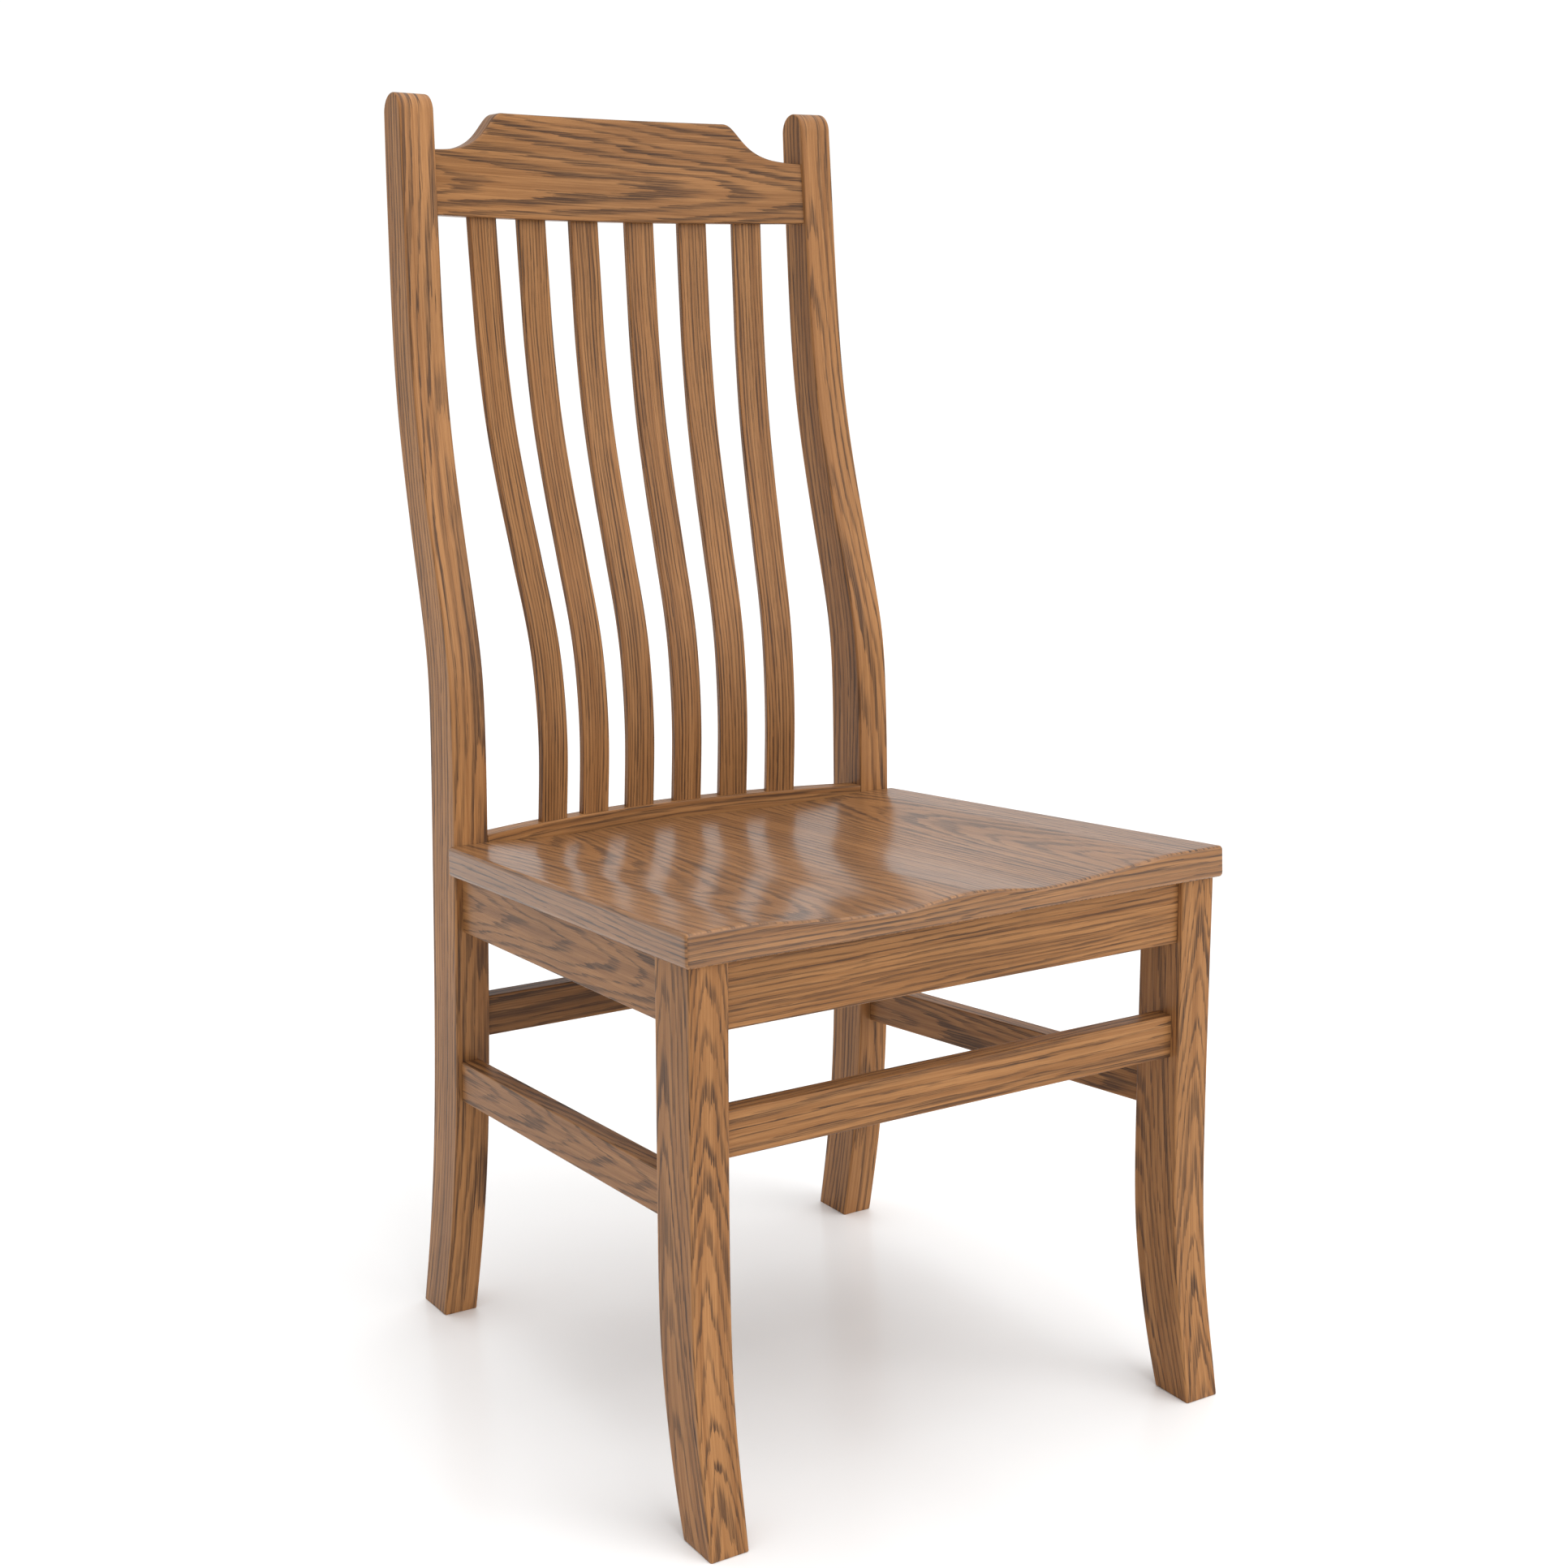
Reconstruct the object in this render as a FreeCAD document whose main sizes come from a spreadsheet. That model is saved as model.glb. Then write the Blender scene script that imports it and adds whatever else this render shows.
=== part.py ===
import FreeCAD, Part
import os
import math
import Sketcher
from FreeCAD import Vector, Rotation, Placement

# Oak dining side chair, built the way a chair shop builds it: sawn S-curved rear posts, sabre front
# legs, tenoned aprons and stretchers, a scooped solid seat and six curved slats between two curved rails.
# Frame: +Z up, the chair faces -Y, +X is the sitter's right-hand side seen from the front; the origin is
# on the floor under the middle of the chair. Millimetres.

doc = FreeCAD.newDocument("dining_chair")
sheet = doc.addObject("Spreadsheet::Sheet", "dims")

DIMENSIONS = [
    ("back_line", 153.65),        # y of the rear posts' front faces at seat height
    ("seat_rear_height", 431.3), ("seat_slope", 3.45), ("seat_thick", 25.1),
    ("seat_front_half", 246.6), ("seat_rear_half", 228.4), ("seat_depth", 426.8),
    ("seat_round", 3.0), ("seat_gap", 0.3),
    ("post_width", 31.0), ("post_foot_half", 228.5), ("post_lean", 0.817), ("post_ease", 1.6),
    ("leg_width", 32.0), ("leg_half", 241.3), ("leg_front", 421.3), ("leg_rear", 372.2),
    ("leg_ease", 1.6),
    ("apron_thick", 19.0), ("apron_height", 50.0), ("apron_setback", 5.8), ("rail_ease", 1.2),
    ("side_apron_rear", 216.5), ("side_apron_front", 234.8),
    ("rear_apron_front", 20.0), ("rear_apron_bottom", 357.0), ("rear_apron_top", 403.9),
    ("stretcher_thick", 17.0), ("stretcher_height", 35.0),
    ("side_str_rear", 221.0), ("side_str_front", 235.2),
    ("side_str_rear_top", 241.8), ("side_str_front_top", 267.6),
    ("front_str_bottom", 284.4), ("front_str_setback", 9.3),
    ("rear_str_bottom", 259.4), ("rear_str_setback", 5.6),
    ("tenon_long", 20.0), ("tenon_thick", 9.0), ("tenon_shoulder", 6.0), ("joint_gap", 0.25),
    ("low_rail_bottom", 404.4), ("low_rail_top", 437.2), ("low_rail_thick", 17.0),
    ("low_rail_set", 0.5), ("low_rail_bow", 31.0),
    ("crest_bottom", 952.4), ("crest_shoulder", 1006.4), ("crest_top", 1040.0), ("crest_thick", 20.0),
    ("crest_set", 86.0), ("crest_bow", 26.0), ("crest_tilt", 4.3), ("crest_sag", 1.4),
    ("slat_width", 27.4), ("slat_thick", 7.4), ("slat_ease", 1.2),
    ("slat_bottom", 425.0), ("slat_top", 966.0),
    ("block_height", 34.0), ("front_block_top", 426.4), ("rear_block_top", 403.8),
    ("screw_shank", 4.2), ("screw_head", 8.6), ("screw_long", 46.0),
]
for row, (alias, value) in enumerate(DIMENSIONS, start=1):
    sheet.set("A%d" % row, alias)
    sheet.set("B%d" % row, str(value))
    sheet.setAlias("B%d" % row, alias)
doc.recompute()


def dim(alias):
    """Value of one driving dimension."""
    return float(sheet.get(alias))


BACK = dim("back_line")
SLOPE = math.tan(math.radians(dim("seat_slope")))
LEAN = math.tan(math.radians(dim("post_lean")))

# Side profiles as (height, distance behind the back line); forward is negative.
POST_FRONT = [(0, 33.5), (60, 20.5), (120, 10.3), (180, 4.1), (260, 1.0), (360, 0.3), (460, 0.3),
              (530, 2.4), (580, 7.7), (626, 19.6), (675, 34.9), (730, 51.3), (790, 65.6), (850, 74.7),
              (920, 81.2), (990, 86.5), (1036, 90.0)]
POST_REAR = [(0, 77.0), (60, 65.3), (120, 56.7), (180, 51.5), (260, 48.4), (360, 47.2), (460, 47.2),
             (530, 48.1), (580, 52.4), (626, 63.2), (675, 77.3), (730, 92.2), (790, 105.3), (850, 113.1),
             (920, 118.0), (990, 121.7), (1036, 123.4)]
LEG_FRONT = [(0, -446.0), (30, -440.4), (60, -434.6), (90, -429.8), (125, -425.9), (165, -423.3),
             (215, -422.0), (280, -421.4), (350, -421.3)]
LEG_REAR = [(0, -406.5), (30, -396.9), (60, -388.9), (90, -382.6), (125, -376.9), (165, -373.6),
            (215, -372.5), (280, -372.2), (350, -372.2)]
SLAT_CURVE = [(425, 3.6), (460, 1.7), (495, 0.4), (530, 1.7), (556, 4.3), (580, 8.0), (602, 13.0), (626, 20.1),
              (651, 28.4), (675, 36.0), (704, 45.4), (730, 53.1), (760, 61.3), (790, 68.0), (820, 73.2),
              (850, 77.5), (885, 81.0), (920, 84.3), (966, 88.0)]
SLATS = [(24.3, 35.2, 2.5), (71.2, 32.6, 6.6), (116.4, 23.3, 11.2)]   # x, y behind back line, turn
# Depth of the seat's scoop across its width: the pommel stands up between two dishes at the front edge.
DISH_X = [0.0, 20.0, 42.0, 64.0, 88.0, 112.0, 140.0, 165.0, 184.0, 196.0]
DISH_FRONT = [3.4, 4.8, 7.2, 9.4, 9.0, 7.4, 5.2, 2.6, 0.6, -0.3]
DISH_MIDDLE = [7.4, 7.7, 8.6, 9.6, 9.6, 8.5, 6.4, 3.4, 0.9, -0.3]
DISH_REAR = [6.6, 6.8, 7.2, 7.5, 7.3, 6.5, 4.8, 2.6, 0.7, -0.3]


# ---------------------------------------------------------------- small helpers

def bind(obj, **expressions):
    """Bind properties to the sheet; double underscores stand for dots in a property path."""
    for path, expression in expressions.items():
        obj.setExpression(path.replace("__", "."), expression)


def new_body(name):
    return doc.addObject("PartDesign::Body", name)


def sketch_on(body, plane, name, offset=0.0):
    """Sketch on one of the body's own origin planes, moved by an offset along the plane's normal."""
    sk = body.newObject("Sketcher::SketchObject", name)
    flat = next(f for f in body.Origin.OriginFeatures if f.Role == plane)
    sk.AttachmentSupport = [(flat, "")]
    sk.MapMode = "FlatFace"
    sk.AttachmentOffset = Placement(Vector(0, 0, offset), Rotation())
    return sk


def polygon(sk, points):
    """Closed polygon with its corners joined."""
    count = len(points)
    ids = []
    for i in range(count):
        a, b = points[i], points[(i + 1) % count]
        ids.append(sk.addGeometry(Part.LineSegment(Vector(a[0], a[1], 0), Vector(b[0], b[1], 0)), False))
    for i in range(count):
        sk.addConstraint(Sketcher.Constraint("Coincident", ids[i], 2, ids[(i + 1) % count], 1))


def spline(points):
    curve = Part.BSplineCurve()
    curve.interpolate([Vector(p[0], p[1], 0) for p in points])
    return curve


def pad(body, sketch, name, length, midplane=False, reverse=False):
    """Pad whose length is bound to the sheet; a plain number is kept where it only reaches past a cut."""
    feature = body.newObject("PartDesign::Pad", name)
    feature.Profile = sketch
    if isinstance(length, str):
        feature.setExpression("Length", length)
    else:
        feature.Length = length
    feature.Midplane = midplane
    feature.Reversed = reverse
    body.Tip = feature
    doc.recompute()
    return feature


def ease(body, name, alias, keep):
    """Round the body's long edges that pass the test, with the radius from the sheet."""
    tip = body.Tip
    names = ["Edge%d" % (i + 1) for i, e in enumerate(tip.Shape.Edges) if keep(e)]
    feature = body.newObject("PartDesign::Fillet", name)
    feature.Base = (tip, names)
    feature.setExpression("Radius", "dims." + alias)
    body.Tip = feature
    doc.recompute()
    return feature


def block(name, x, y, z):
    """Box from three (start, size) pairs of sheet expressions."""
    box = doc.addObject("Part::Box", name)
    bind(box, Length=x[1], Width=y[1], Height=z[1], Placement__Base__x=x[0],
         Placement__Base__y=y[0], Placement__Base__z=z[0])
    return box


def grown(name, x, y, z):
    """The mortise for a tenon: the same box with the joint gap all round."""
    return block(name, *[("%s - dims.joint_gap" % a, "%s + 2 * dims.joint_gap" % b) for a, b in (x, y, z)])


def fuse(name, shapes):
    node = doc.addObject("Part::MultiFuse", name)
    node.Shapes = shapes
    doc.recompute()
    return node


def cut(name, base, tool):
    node = doc.addObject("Part::Cut", name)
    node.Base = base
    node.Tool = tool
    doc.recompute()
    return node


def mirrored(name, source):
    """The same part on the other side of the chair."""
    node = doc.addObject("Part::Mirroring", name)
    node.Source = source
    node.Base = Vector(0, 0, 0)
    node.Normal = Vector(1, 0, 0)
    doc.recompute()
    return node


def long_edge(limit):
    return lambda edge: edge.Length > limit


# ---------------------------------------------------------------- tenons, as (start, size) expressions
B = "dims.back_line"
T = "dims.tenon_thick"
LONG = "dims.tenon_long"
SH = "dims.tenon_shoulder"
SLOPE_TXT = "tan(dims.seat_slope * 1 deg)"
POST_IN = "(dims.post_foot_half - dims.post_width - tan(dims.post_lean * 1 deg) * %s)"
LEG_REAR_Y = "(%s - dims.leg_rear)" % B
UNDER_REAR = "(dims.seat_rear_height - dims.seat_thick / cos(dims.seat_slope * 1 deg) - 0.1)"
UNDER_FRONT = "(%s + dims.leg_rear * %s)" % (UNDER_REAR, SLOPE_TXT)


def side_tenon(half, top, height, at_front):
    """Tenon of a left-hand side member, into the leg (front) or the post (rear), along Y."""
    thick = "dims.apron_thick" if "apron" in half else "dims.stretcher_thick"
    x = ("-(%s) + (%s - %s) / 2" % (half, thick, T), T)
    if at_front:
        y = ("%s - %s" % (LEG_REAR_Y, LONG), "%s + 2" % LONG)
    else:
        y = ("%s - 1.7" % B, "%s + 2" % LONG)
    z = ("%s - %s + %s" % (top, height, SH), "%s - 2 * %s" % (height, SH))
    return x, y, z


def cross_tenon(inner, y_face, thick, bottom, height):
    """Left-hand tenon of a member that runs across the chair, along X."""
    x = ("-(%s) - %s + 2" % (inner, LONG), "%s" % LONG)
    y = ("%s + (%s - %s) / 2" % (y_face, thick, T), T)
    z = ("%s + %s" % (bottom, SH), "%s - 2 * %s" % (height, SH))
    return x, y, z


APRON_H = "dims.apron_height"
STR_H = "dims.stretcher_height"
FRONT_APRON_BOTTOM = "(%s + (dims.leg_front - dims.apron_setback - dims.apron_thick) * %s - %s)" % (
    UNDER_REAR, SLOPE_TXT, APRON_H)
TENONS = {
    "side_apron_front": side_tenon("dims.side_apron_front", UNDER_FRONT, APRON_H, True),
    "side_apron_rear": side_tenon("dims.side_apron_rear", UNDER_REAR, APRON_H, False),
    "side_str_front": side_tenon("dims.side_str_front", "dims.side_str_front_top", STR_H, True),
    "side_str_rear": side_tenon("dims.side_str_rear", "dims.side_str_rear_top", STR_H, False),
    "front_apron": cross_tenon("dims.leg_half - dims.leg_width",
                               B + " - dims.leg_front + dims.apron_setback",
                               "dims.apron_thick", FRONT_APRON_BOTTOM, APRON_H),
    "front_str": cross_tenon("dims.leg_half - dims.leg_width",
                             B + " - dims.leg_front + dims.front_str_setback",
                             "dims.stretcher_thick", "dims.front_str_bottom", STR_H),
    "rear_apron": cross_tenon(POST_IN % "dims.rear_apron_bottom", B + " + dims.rear_apron_front",
                              "dims.apron_thick", "dims.rear_apron_bottom",
                              "(dims.rear_apron_top - dims.rear_apron_bottom)"),
    "rear_str": cross_tenon(POST_IN % "dims.rear_str_bottom", B + " + dims.rear_str_setback",
                            "dims.stretcher_thick", "dims.rear_str_bottom", STR_H),
    "low_rail": cross_tenon(POST_IN % "dims.low_rail_top", B + " + dims.low_rail_set",
                            "dims.low_rail_thick", "dims.low_rail_bottom",
                            "(dims.low_rail_top - dims.low_rail_bottom)"),
    "crest": cross_tenon(POST_IN % "dims.crest_bottom", B + " + dims.crest_set + 2.5",
                         "dims.crest_thick", "dims.crest_bottom",
                         "(dims.crest_shoulder - dims.crest_bottom)"),
}


def mortises(name, keys, extra=()):
    return fuse(name, [grown("mortise_%s_%s" % (name, k), *TENONS[k]) for k in keys] + list(extra))


def with_tenons(name, core, key):
    """A cross member with its left and right tenons."""
    left = block("tenon_" + key, *TENONS[key])
    return fuse(name, [core, left, mirrored("tenon_%s_other" % key, left)])


# ---------------------------------------------------------------- posts and legs

def profile_wood(name, front, rear, cap, width, ease_alias):
    """Sawn from a plank: the side profile on YZ, padded to the plank's thickness, long edges eased."""
    body = new_body(name)
    sk = sketch_on(body, "YZ_Plane", name + "_profile")
    sk.addGeometry(spline([(y, z) for z, y in front]), False)
    sk.addGeometry(spline([(y, z) for z, y in rear]), False)
    sole = Vector(front[0][1], front[0][0], 0), Vector(rear[0][1], rear[0][0], 0)
    sk.addGeometry(Part.LineSegment(*sole), False)
    for piece in cap:
        sk.addGeometry(piece, False)
    pad(body, sk, name + "_plank", width)
    ease(body, name + "_eased", ease_alias, long_edge(300))
    return body


def rear_post():
    """Left rear post, leaning inwards a little, its foot sawn flat to the floor."""
    front = [(-4, 34.5)] + POST_FRONT[1:]
    rear = [(-4, 77.9)] + POST_REAR[1:]
    a, b = Vector(front[-1][1], front[-1][0], 0), Vector(rear[-1][1], rear[-1][0], 0)
    crown = Part.Arc(a, Vector((a.x + b.x) / 2.0, a.y + (b.x - a.x) / 2.0 - 0.4, 0), b)
    body = profile_wood("rear_post_blank", front, rear, [crown], "dims.post_width", "post_ease")
    body.Placement = Placement(Vector(0, 0, 0), Rotation(Vector(0, 1, 0), dim("post_lean")))
    bind(body, Placement__Base__x="-dims.post_foot_half", Placement__Base__y=B,
         Placement__Rotation__Angle="dims.post_lean * 1 deg")
    floor = block("floor_trim", ("-300", "200"), (B + " - 50", "200"), ("-40", "40"))
    keys = ["side_apron_rear", "side_str_rear", "rear_apron", "rear_str", "low_rail", "crest"]
    return cut("rear_post_left", body, mortises("post_mortises", keys, [floor]))


def front_leg():
    """Left front leg; its top is sawn to the slope of the seat."""
    under = dim("seat_rear_height") - dim("seat_thick") / math.cos(math.atan(SLOPE)) - 0.1
    top = lambda y: under - SLOPE * y
    fy, ry = -dim("leg_front"), -dim("leg_rear")
    cap = [Part.LineSegment(Vector(fy, 350, 0), Vector(fy, top(fy), 0)),
           Part.LineSegment(Vector(fy, top(fy), 0), Vector(ry, top(ry), 0)),
           Part.LineSegment(Vector(ry, top(ry), 0), Vector(ry, 350, 0))]
    body = profile_wood("front_leg_blank", LEG_FRONT, LEG_REAR, cap, "dims.leg_width", "leg_ease")
    bind(body, Placement__Base__x="-dims.leg_half", Placement__Base__y=B)
    keys = ["side_apron_front", "side_str_front", "front_apron", "front_str"]
    return cut("front_leg_left", body, mortises("leg_mortises", keys))


# ---------------------------------------------------------------- aprons and stretchers

def side_member(name, halves, tops, height, thick, keys):
    """Left-hand board that splays from the post to the leg, with square tenons at both shoulders."""
    body = new_body(name + "_board")
    stations = [(BACK + 0.1, halves[0], tops[0]), (BACK - dim("leg_rear") + 0.15, halves[1], tops[1])]
    sketches = []
    for i, (y, half, top) in enumerate(stations):
        sk = sketch_on(body, "XZ_Plane", "%s_end_%d" % (name, i), -y)
        polygon(sk, [(-half, top - height), (-half + thick, top - height),
                     (-half + thick, top), (-half, top)])
        sketches.append(sk)
    loft = body.newObject("PartDesign::AdditiveLoft", name + "_loft")
    loft.Profile = sketches[0]
    loft.Sections = sketches[1:]
    loft.Ruled = True
    body.Tip = loft
    doc.recompute()
    ease(body, name + "_eased", "rail_ease", long_edge(200))
    return fuse(name + "_left", [body] + [block("tenon_" + k, *TENONS[k]) for k in keys])


def side_apron():
    rear_top = dim("seat_rear_height") - dim("seat_thick") / math.cos(math.atan(SLOPE)) - 0.1
    tops = (rear_top, rear_top + SLOPE * dim("leg_rear"))
    return side_member("side_apron", (dim("side_apron_rear"), dim("side_apron_front")), tops,
                       dim("apron_height"), dim("apron_thick"), ["side_apron_front", "side_apron_rear"])


def side_stretcher():
    return side_member("side_stretcher", (dim("side_str_rear"), dim("side_str_front")),
                       (dim("side_str_rear_top"), dim("side_str_front_top")), dim("stretcher_height"),
                       dim("stretcher_thick"), ["side_str_front", "side_str_rear"])


def cross_member(name, y_face, thick, bottom, height, end_low, end_high, key):
    """Straight board across the chair; its ends follow the posts or legs it meets."""
    body = new_body(name + "_board")
    sk = sketch_on(body, "XZ_Plane", name + "_face")
    polygon(sk, [(-end_low, bottom), (end_low, bottom),
                 (end_high, bottom + height), (-end_high, bottom + height)])
    pad(body, sk, name + "_pad", thick, reverse=True)
    ease(body, name + "_eased", "rail_ease", long_edge(200))
    bind(body, Placement__Base__y=y_face)
    return with_tenons(name, body, key)


def front_apron():
    """Front apron; its top edge is bevelled under the sloping seat."""
    body = new_body("front_apron_board")
    sk = sketch_on(body, "YZ_Plane", "front_apron_end")
    y0 = dim("apron_setback") - dim("leg_front")
    y1 = y0 + dim("apron_thick")
    under = dim("seat_rear_height") - dim("seat_thick") / math.cos(math.atan(SLOPE)) - 0.1
    low = under - SLOPE * y1 - dim("apron_height")
    polygon(sk, [(y0, low), (y1, low), (y1, under - SLOPE * y1), (y0, under - SLOPE * y0)])
    pad(body, sk, "front_apron_pad", "2 * (dims.leg_half - dims.leg_width - 0.05)", midplane=True)
    ease(body, "front_apron_eased", "rail_ease", long_edge(200))
    bind(body, Placement__Base__y=B)
    return with_tenons("front_apron", body, "front_apron")


def front_stretcher():
    end = dim("leg_half") - dim("leg_width") - 0.05
    return cross_member("front_stretcher", B + " - dims.leg_front + dims.front_str_setback",
                        "dims.stretcher_thick", dim("front_str_bottom"), dim("stretcher_height"),
                        end, end, "front_str")


def post_inner(z):
    """Half distance between the posts' inner faces at a height, less a hair."""
    return dim("post_foot_half") - dim("post_width") / math.cos(math.atan(LEAN)) - LEAN * z - 0.05


def rear_apron():
    z0, z1 = dim("rear_apron_bottom"), dim("rear_apron_top")
    return cross_member("rear_apron", B + " + dims.rear_apron_front", "dims.apron_thick", z0, z1 - z0,
                        post_inner(z0), post_inner(z1), "rear_apron")


def rear_stretcher():
    z0, h = dim("rear_str_bottom"), dim("stretcher_height")
    return cross_member("rear_stretcher", B + " + dims.rear_str_setback", "dims.stretcher_thick", z0, h,
                        post_inner(z0), post_inner(z0 + h), "rear_str")


# ---------------------------------------------------------------- slats and the two curved rails

def slat(name, index, gap):
    """One S-curved slat, turned to face the middle of the chair; a gap makes it the tool for its slots."""
    x, y, turn = SLATS[index]
    half = dim("slat_thick") / 2.0 + gap
    body = new_body(name)
    sk = sketch_on(body, "YZ_Plane", name + "_profile")
    curve = [(z + (-gap if z == SLAT_CURVE[0][0] else gap if z == SLAT_CURVE[-1][0] else 0), d)
             for z, d in SLAT_CURVE]
    sides = []
    for s in (-half, half):
        side = []
        for k, (z, d) in enumerate(curve):
            lo, hi = curve[max(k - 1, 0)], curve[min(k + 1, len(curve) - 1)]
            slope = (hi[1] - lo[1]) / (hi[0] - lo[0])
            norm = math.sqrt(1 + slope * slope)
            end = k in (0, len(curve) - 1)
            side.append((d + s * norm, z) if end else (d + s / norm, z - s * slope / norm))
        sides.append(side)
        sk.addGeometry(spline(side), False)
    for k in (0, -1):
        sk.addGeometry(Part.LineSegment(Vector(*sides[0][k], 0), Vector(*sides[1][k], 0)), False)
    pad(body, sk, name + "_pad", "dims.slat_width + %.3f" % (2 * gap), midplane=True)
    if not gap:
        ease(body, name + "_eased", "slat_ease", long_edge(300))
    body.Placement = Placement(Vector(-x, BACK + y, 0), Rotation(Vector(0, 0, 1), turn))
    bind(body, Placement__Base__y="%s + %s" % (B, y))
    return body


def slot_tools():
    """Tools for the slats' slots, shared by both rails."""
    tools = [slat("slot_%d" % (i + 1), i, dim("joint_gap")) for i in range(3)]
    return fuse("slat_slots", tools + [mirrored(t.Name + "_other", t) for t in tools])


def bowed_slab(name, half, front_y, bow, thick, height_from, height):
    """Slab between two concentric-looking arcs, bowed backwards in plan."""
    body = new_body(name)
    sk = sketch_on(body, "XY_Plane", name + "_plan", height_from)
    ends = [(-half, front_y), (half, front_y), (half, front_y + thick), (-half, front_y + thick)]
    p = [Vector(a, b, 0) for a, b in ends]
    sk.addGeometry(Part.Arc(p[0], Vector(0, front_y + bow, 0), p[1]), False)
    sk.addGeometry(Part.LineSegment(p[1], p[2]), False)
    sk.addGeometry(Part.Arc(p[2], Vector(0, front_y + thick + bow, 0), p[3]), False)
    sk.addGeometry(Part.LineSegment(p[3], p[0]), False)
    pad(body, sk, name + "_pad", height)
    bind(body, Placement__Base__y=B)
    return body


def lower_back_rail(slots):
    z0, z1 = dim("low_rail_bottom"), dim("low_rail_top")
    body = bowed_slab("lower_back_rail_slab", post_inner(z1), dim("low_rail_set"), dim("low_rail_bow"),
                      dim("low_rail_thick"), z0, "dims.low_rail_top - dims.low_rail_bottom")
    joined = with_tenons("lower_back_rail_tenoned", body, "low_rail")
    return cut("lower_back_rail", joined, slots)


def crest_rail(slots):
    """Crest: a bowed slab, tipped back with the posts, sawn to the raised outline."""
    z0, zs, z1 = dim("crest_bottom"), dim("crest_shoulder"), dim("crest_top")
    slab = bowed_slab("crest_slab", post_inner(z0) + 6, 0, dim("crest_bow"), dim("crest_thick"), -20, 140)
    slab.Placement = Placement(Vector(0, 0, 0), Rotation(Vector(-1, 0, 0), dim("crest_tilt")))
    bind(slab, Placement__Base__y=B + " + dims.crest_set", Placement__Base__z="dims.crest_bottom",
         Placement__Rotation__Angle="dims.crest_tilt * 1 deg")
    face = new_body("crest_outline")
    sk = sketch_on(face, "XZ_Plane", "crest_face")
    e0, e1 = post_inner(z0), post_inner(zs)
    shoulder = [(e1, zs), (162.0, zs + 1.6), (151.4, zs + 4.0), (141.0, zs + 8.6), (133.0, zs + 14.6),
                (126.0, zs + 22.2), (119.6, zs + 29.4), (114.6, zs + 32.9), (108.0, z1)]
    for s in (-1, 1):
        sk.addGeometry(spline([(s * x, z) for x, z in shoulder]), False)
        sk.addGeometry(Part.LineSegment(Vector(s * e0, z0, 0), Vector(s * e1, zs, 0)), False)
    sk.addGeometry(Part.LineSegment(Vector(-108.0, z1, 0), Vector(108.0, z1, 0)), False)
    sag = Vector(0, z0 - dim("crest_sag"), 0)
    sk.addGeometry(Part.Arc(Vector(-e0, z0, 0), sag, Vector(e0, z0, 0)), False)
    pad(face, sk, "crest_depth", 400, reverse=True)
    shaped = doc.addObject("Part::MultiCommon", "crest_shaped")
    shaped.Shapes = [slab, face]
    joined = with_tenons("crest_tenoned", shaped, "crest")
    return cut("crest_rail", joined, slots)


# ---------------------------------------------------------------- seat, corner blocks, screws

def tilt(body):
    """Place a body in the seat's own frame: on the back line, sloping down to the rear."""
    body.Placement = Placement(Vector(0, BACK, dim("seat_rear_height")),
                               Rotation(Vector(1, 0, 0), -dim("seat_slope")))
    bind(body, Placement__Base__y=B, Placement__Base__z="dims.seat_rear_height")


def dish_section(body, name, y, depths, reach=30.0):
    """Closed section of the scoop: the dish curve below, a flat lid well above the seat."""
    sk = sketch_on(body, "XZ_Plane", name, -y)
    xs = [-x for x in reversed(DISH_X[1:])] + DISH_X
    ds = list(reversed(depths[1:])) + depths
    sk.addGeometry(spline([(x, -d) for x, d in zip(xs, ds)]), False)
    corners = [(xs[0], -ds[0]), (xs[0], reach), (xs[-1], reach), (xs[-1], -ds[-1])]
    for a, b in zip(corners, corners[1:]):
        sk.addGeometry(Part.LineSegment(Vector(a[0], a[1], 0), Vector(b[0], b[1], 0)), False)
    return sk


def seat(screw_holes):
    """Solid seat, wider at the front, notched round the posts, with a two-lobed scoop and a pommel."""
    body = new_body("seat_blank")
    gap = dim("seat_gap")
    depth, fh, rh = dim("seat_depth"), dim("seat_front_half"), dim("seat_rear_half")
    inner = post_inner(dim("seat_rear_height")) - gap
    shoulder = -gap - 0.2
    back = dim("low_rail_set") - gap - 0.2
    sk = sketch_on(body, "XY_Plane", "seat_plan", 0)
    left = [(-inner, back), (-inner, shoulder), (-rh, shoulder), (-fh, -depth)]
    right = [(-x, y) for x, y in reversed(left)]
    path = left + right
    for a, b in zip(path, path[1:]):
        sk.addGeometry(Part.LineSegment(Vector(a[0], a[1], 0), Vector(b[0], b[1], 0)), False)
    sk.addGeometry(Part.Arc(Vector(inner, back, 0), Vector(0, back + dim("low_rail_bow"), 0),
                            Vector(-inner, back, 0)), False)
    pad(body, sk, "seat_board", "dims.seat_thick", reverse=True)
    scoop = body.newObject("PartDesign::SubtractiveLoft", "seat_scoop")
    sections = [dish_section(body, "scoop_front", -depth - 20, DISH_FRONT),
                dish_section(body, "scoop_front_inner", -depth + 40, DISH_FRONT),
                dish_section(body, "scoop_middle", -depth + 210, DISH_MIDDLE),
                dish_section(body, "scoop_rear", 60, DISH_REAR)]
    scoop.Profile = sections[0]
    scoop.Sections = sections[1:]
    body.Tip = scoop
    doc.recompute()
    outer = lambda e: e.Length > 24 and abs(e.CenterOfMass.y + depth / 2) > depth / 2 - 3 \
        or (e.Length > 300 and abs(e.CenterOfMass.x) > 200)
    ease(body, "seat_eased", "seat_round", lambda e: outer(e) and e.CenterOfMass.y < -20)
    tilt(body)
    return cut("seat", body, screw_holes)


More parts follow.
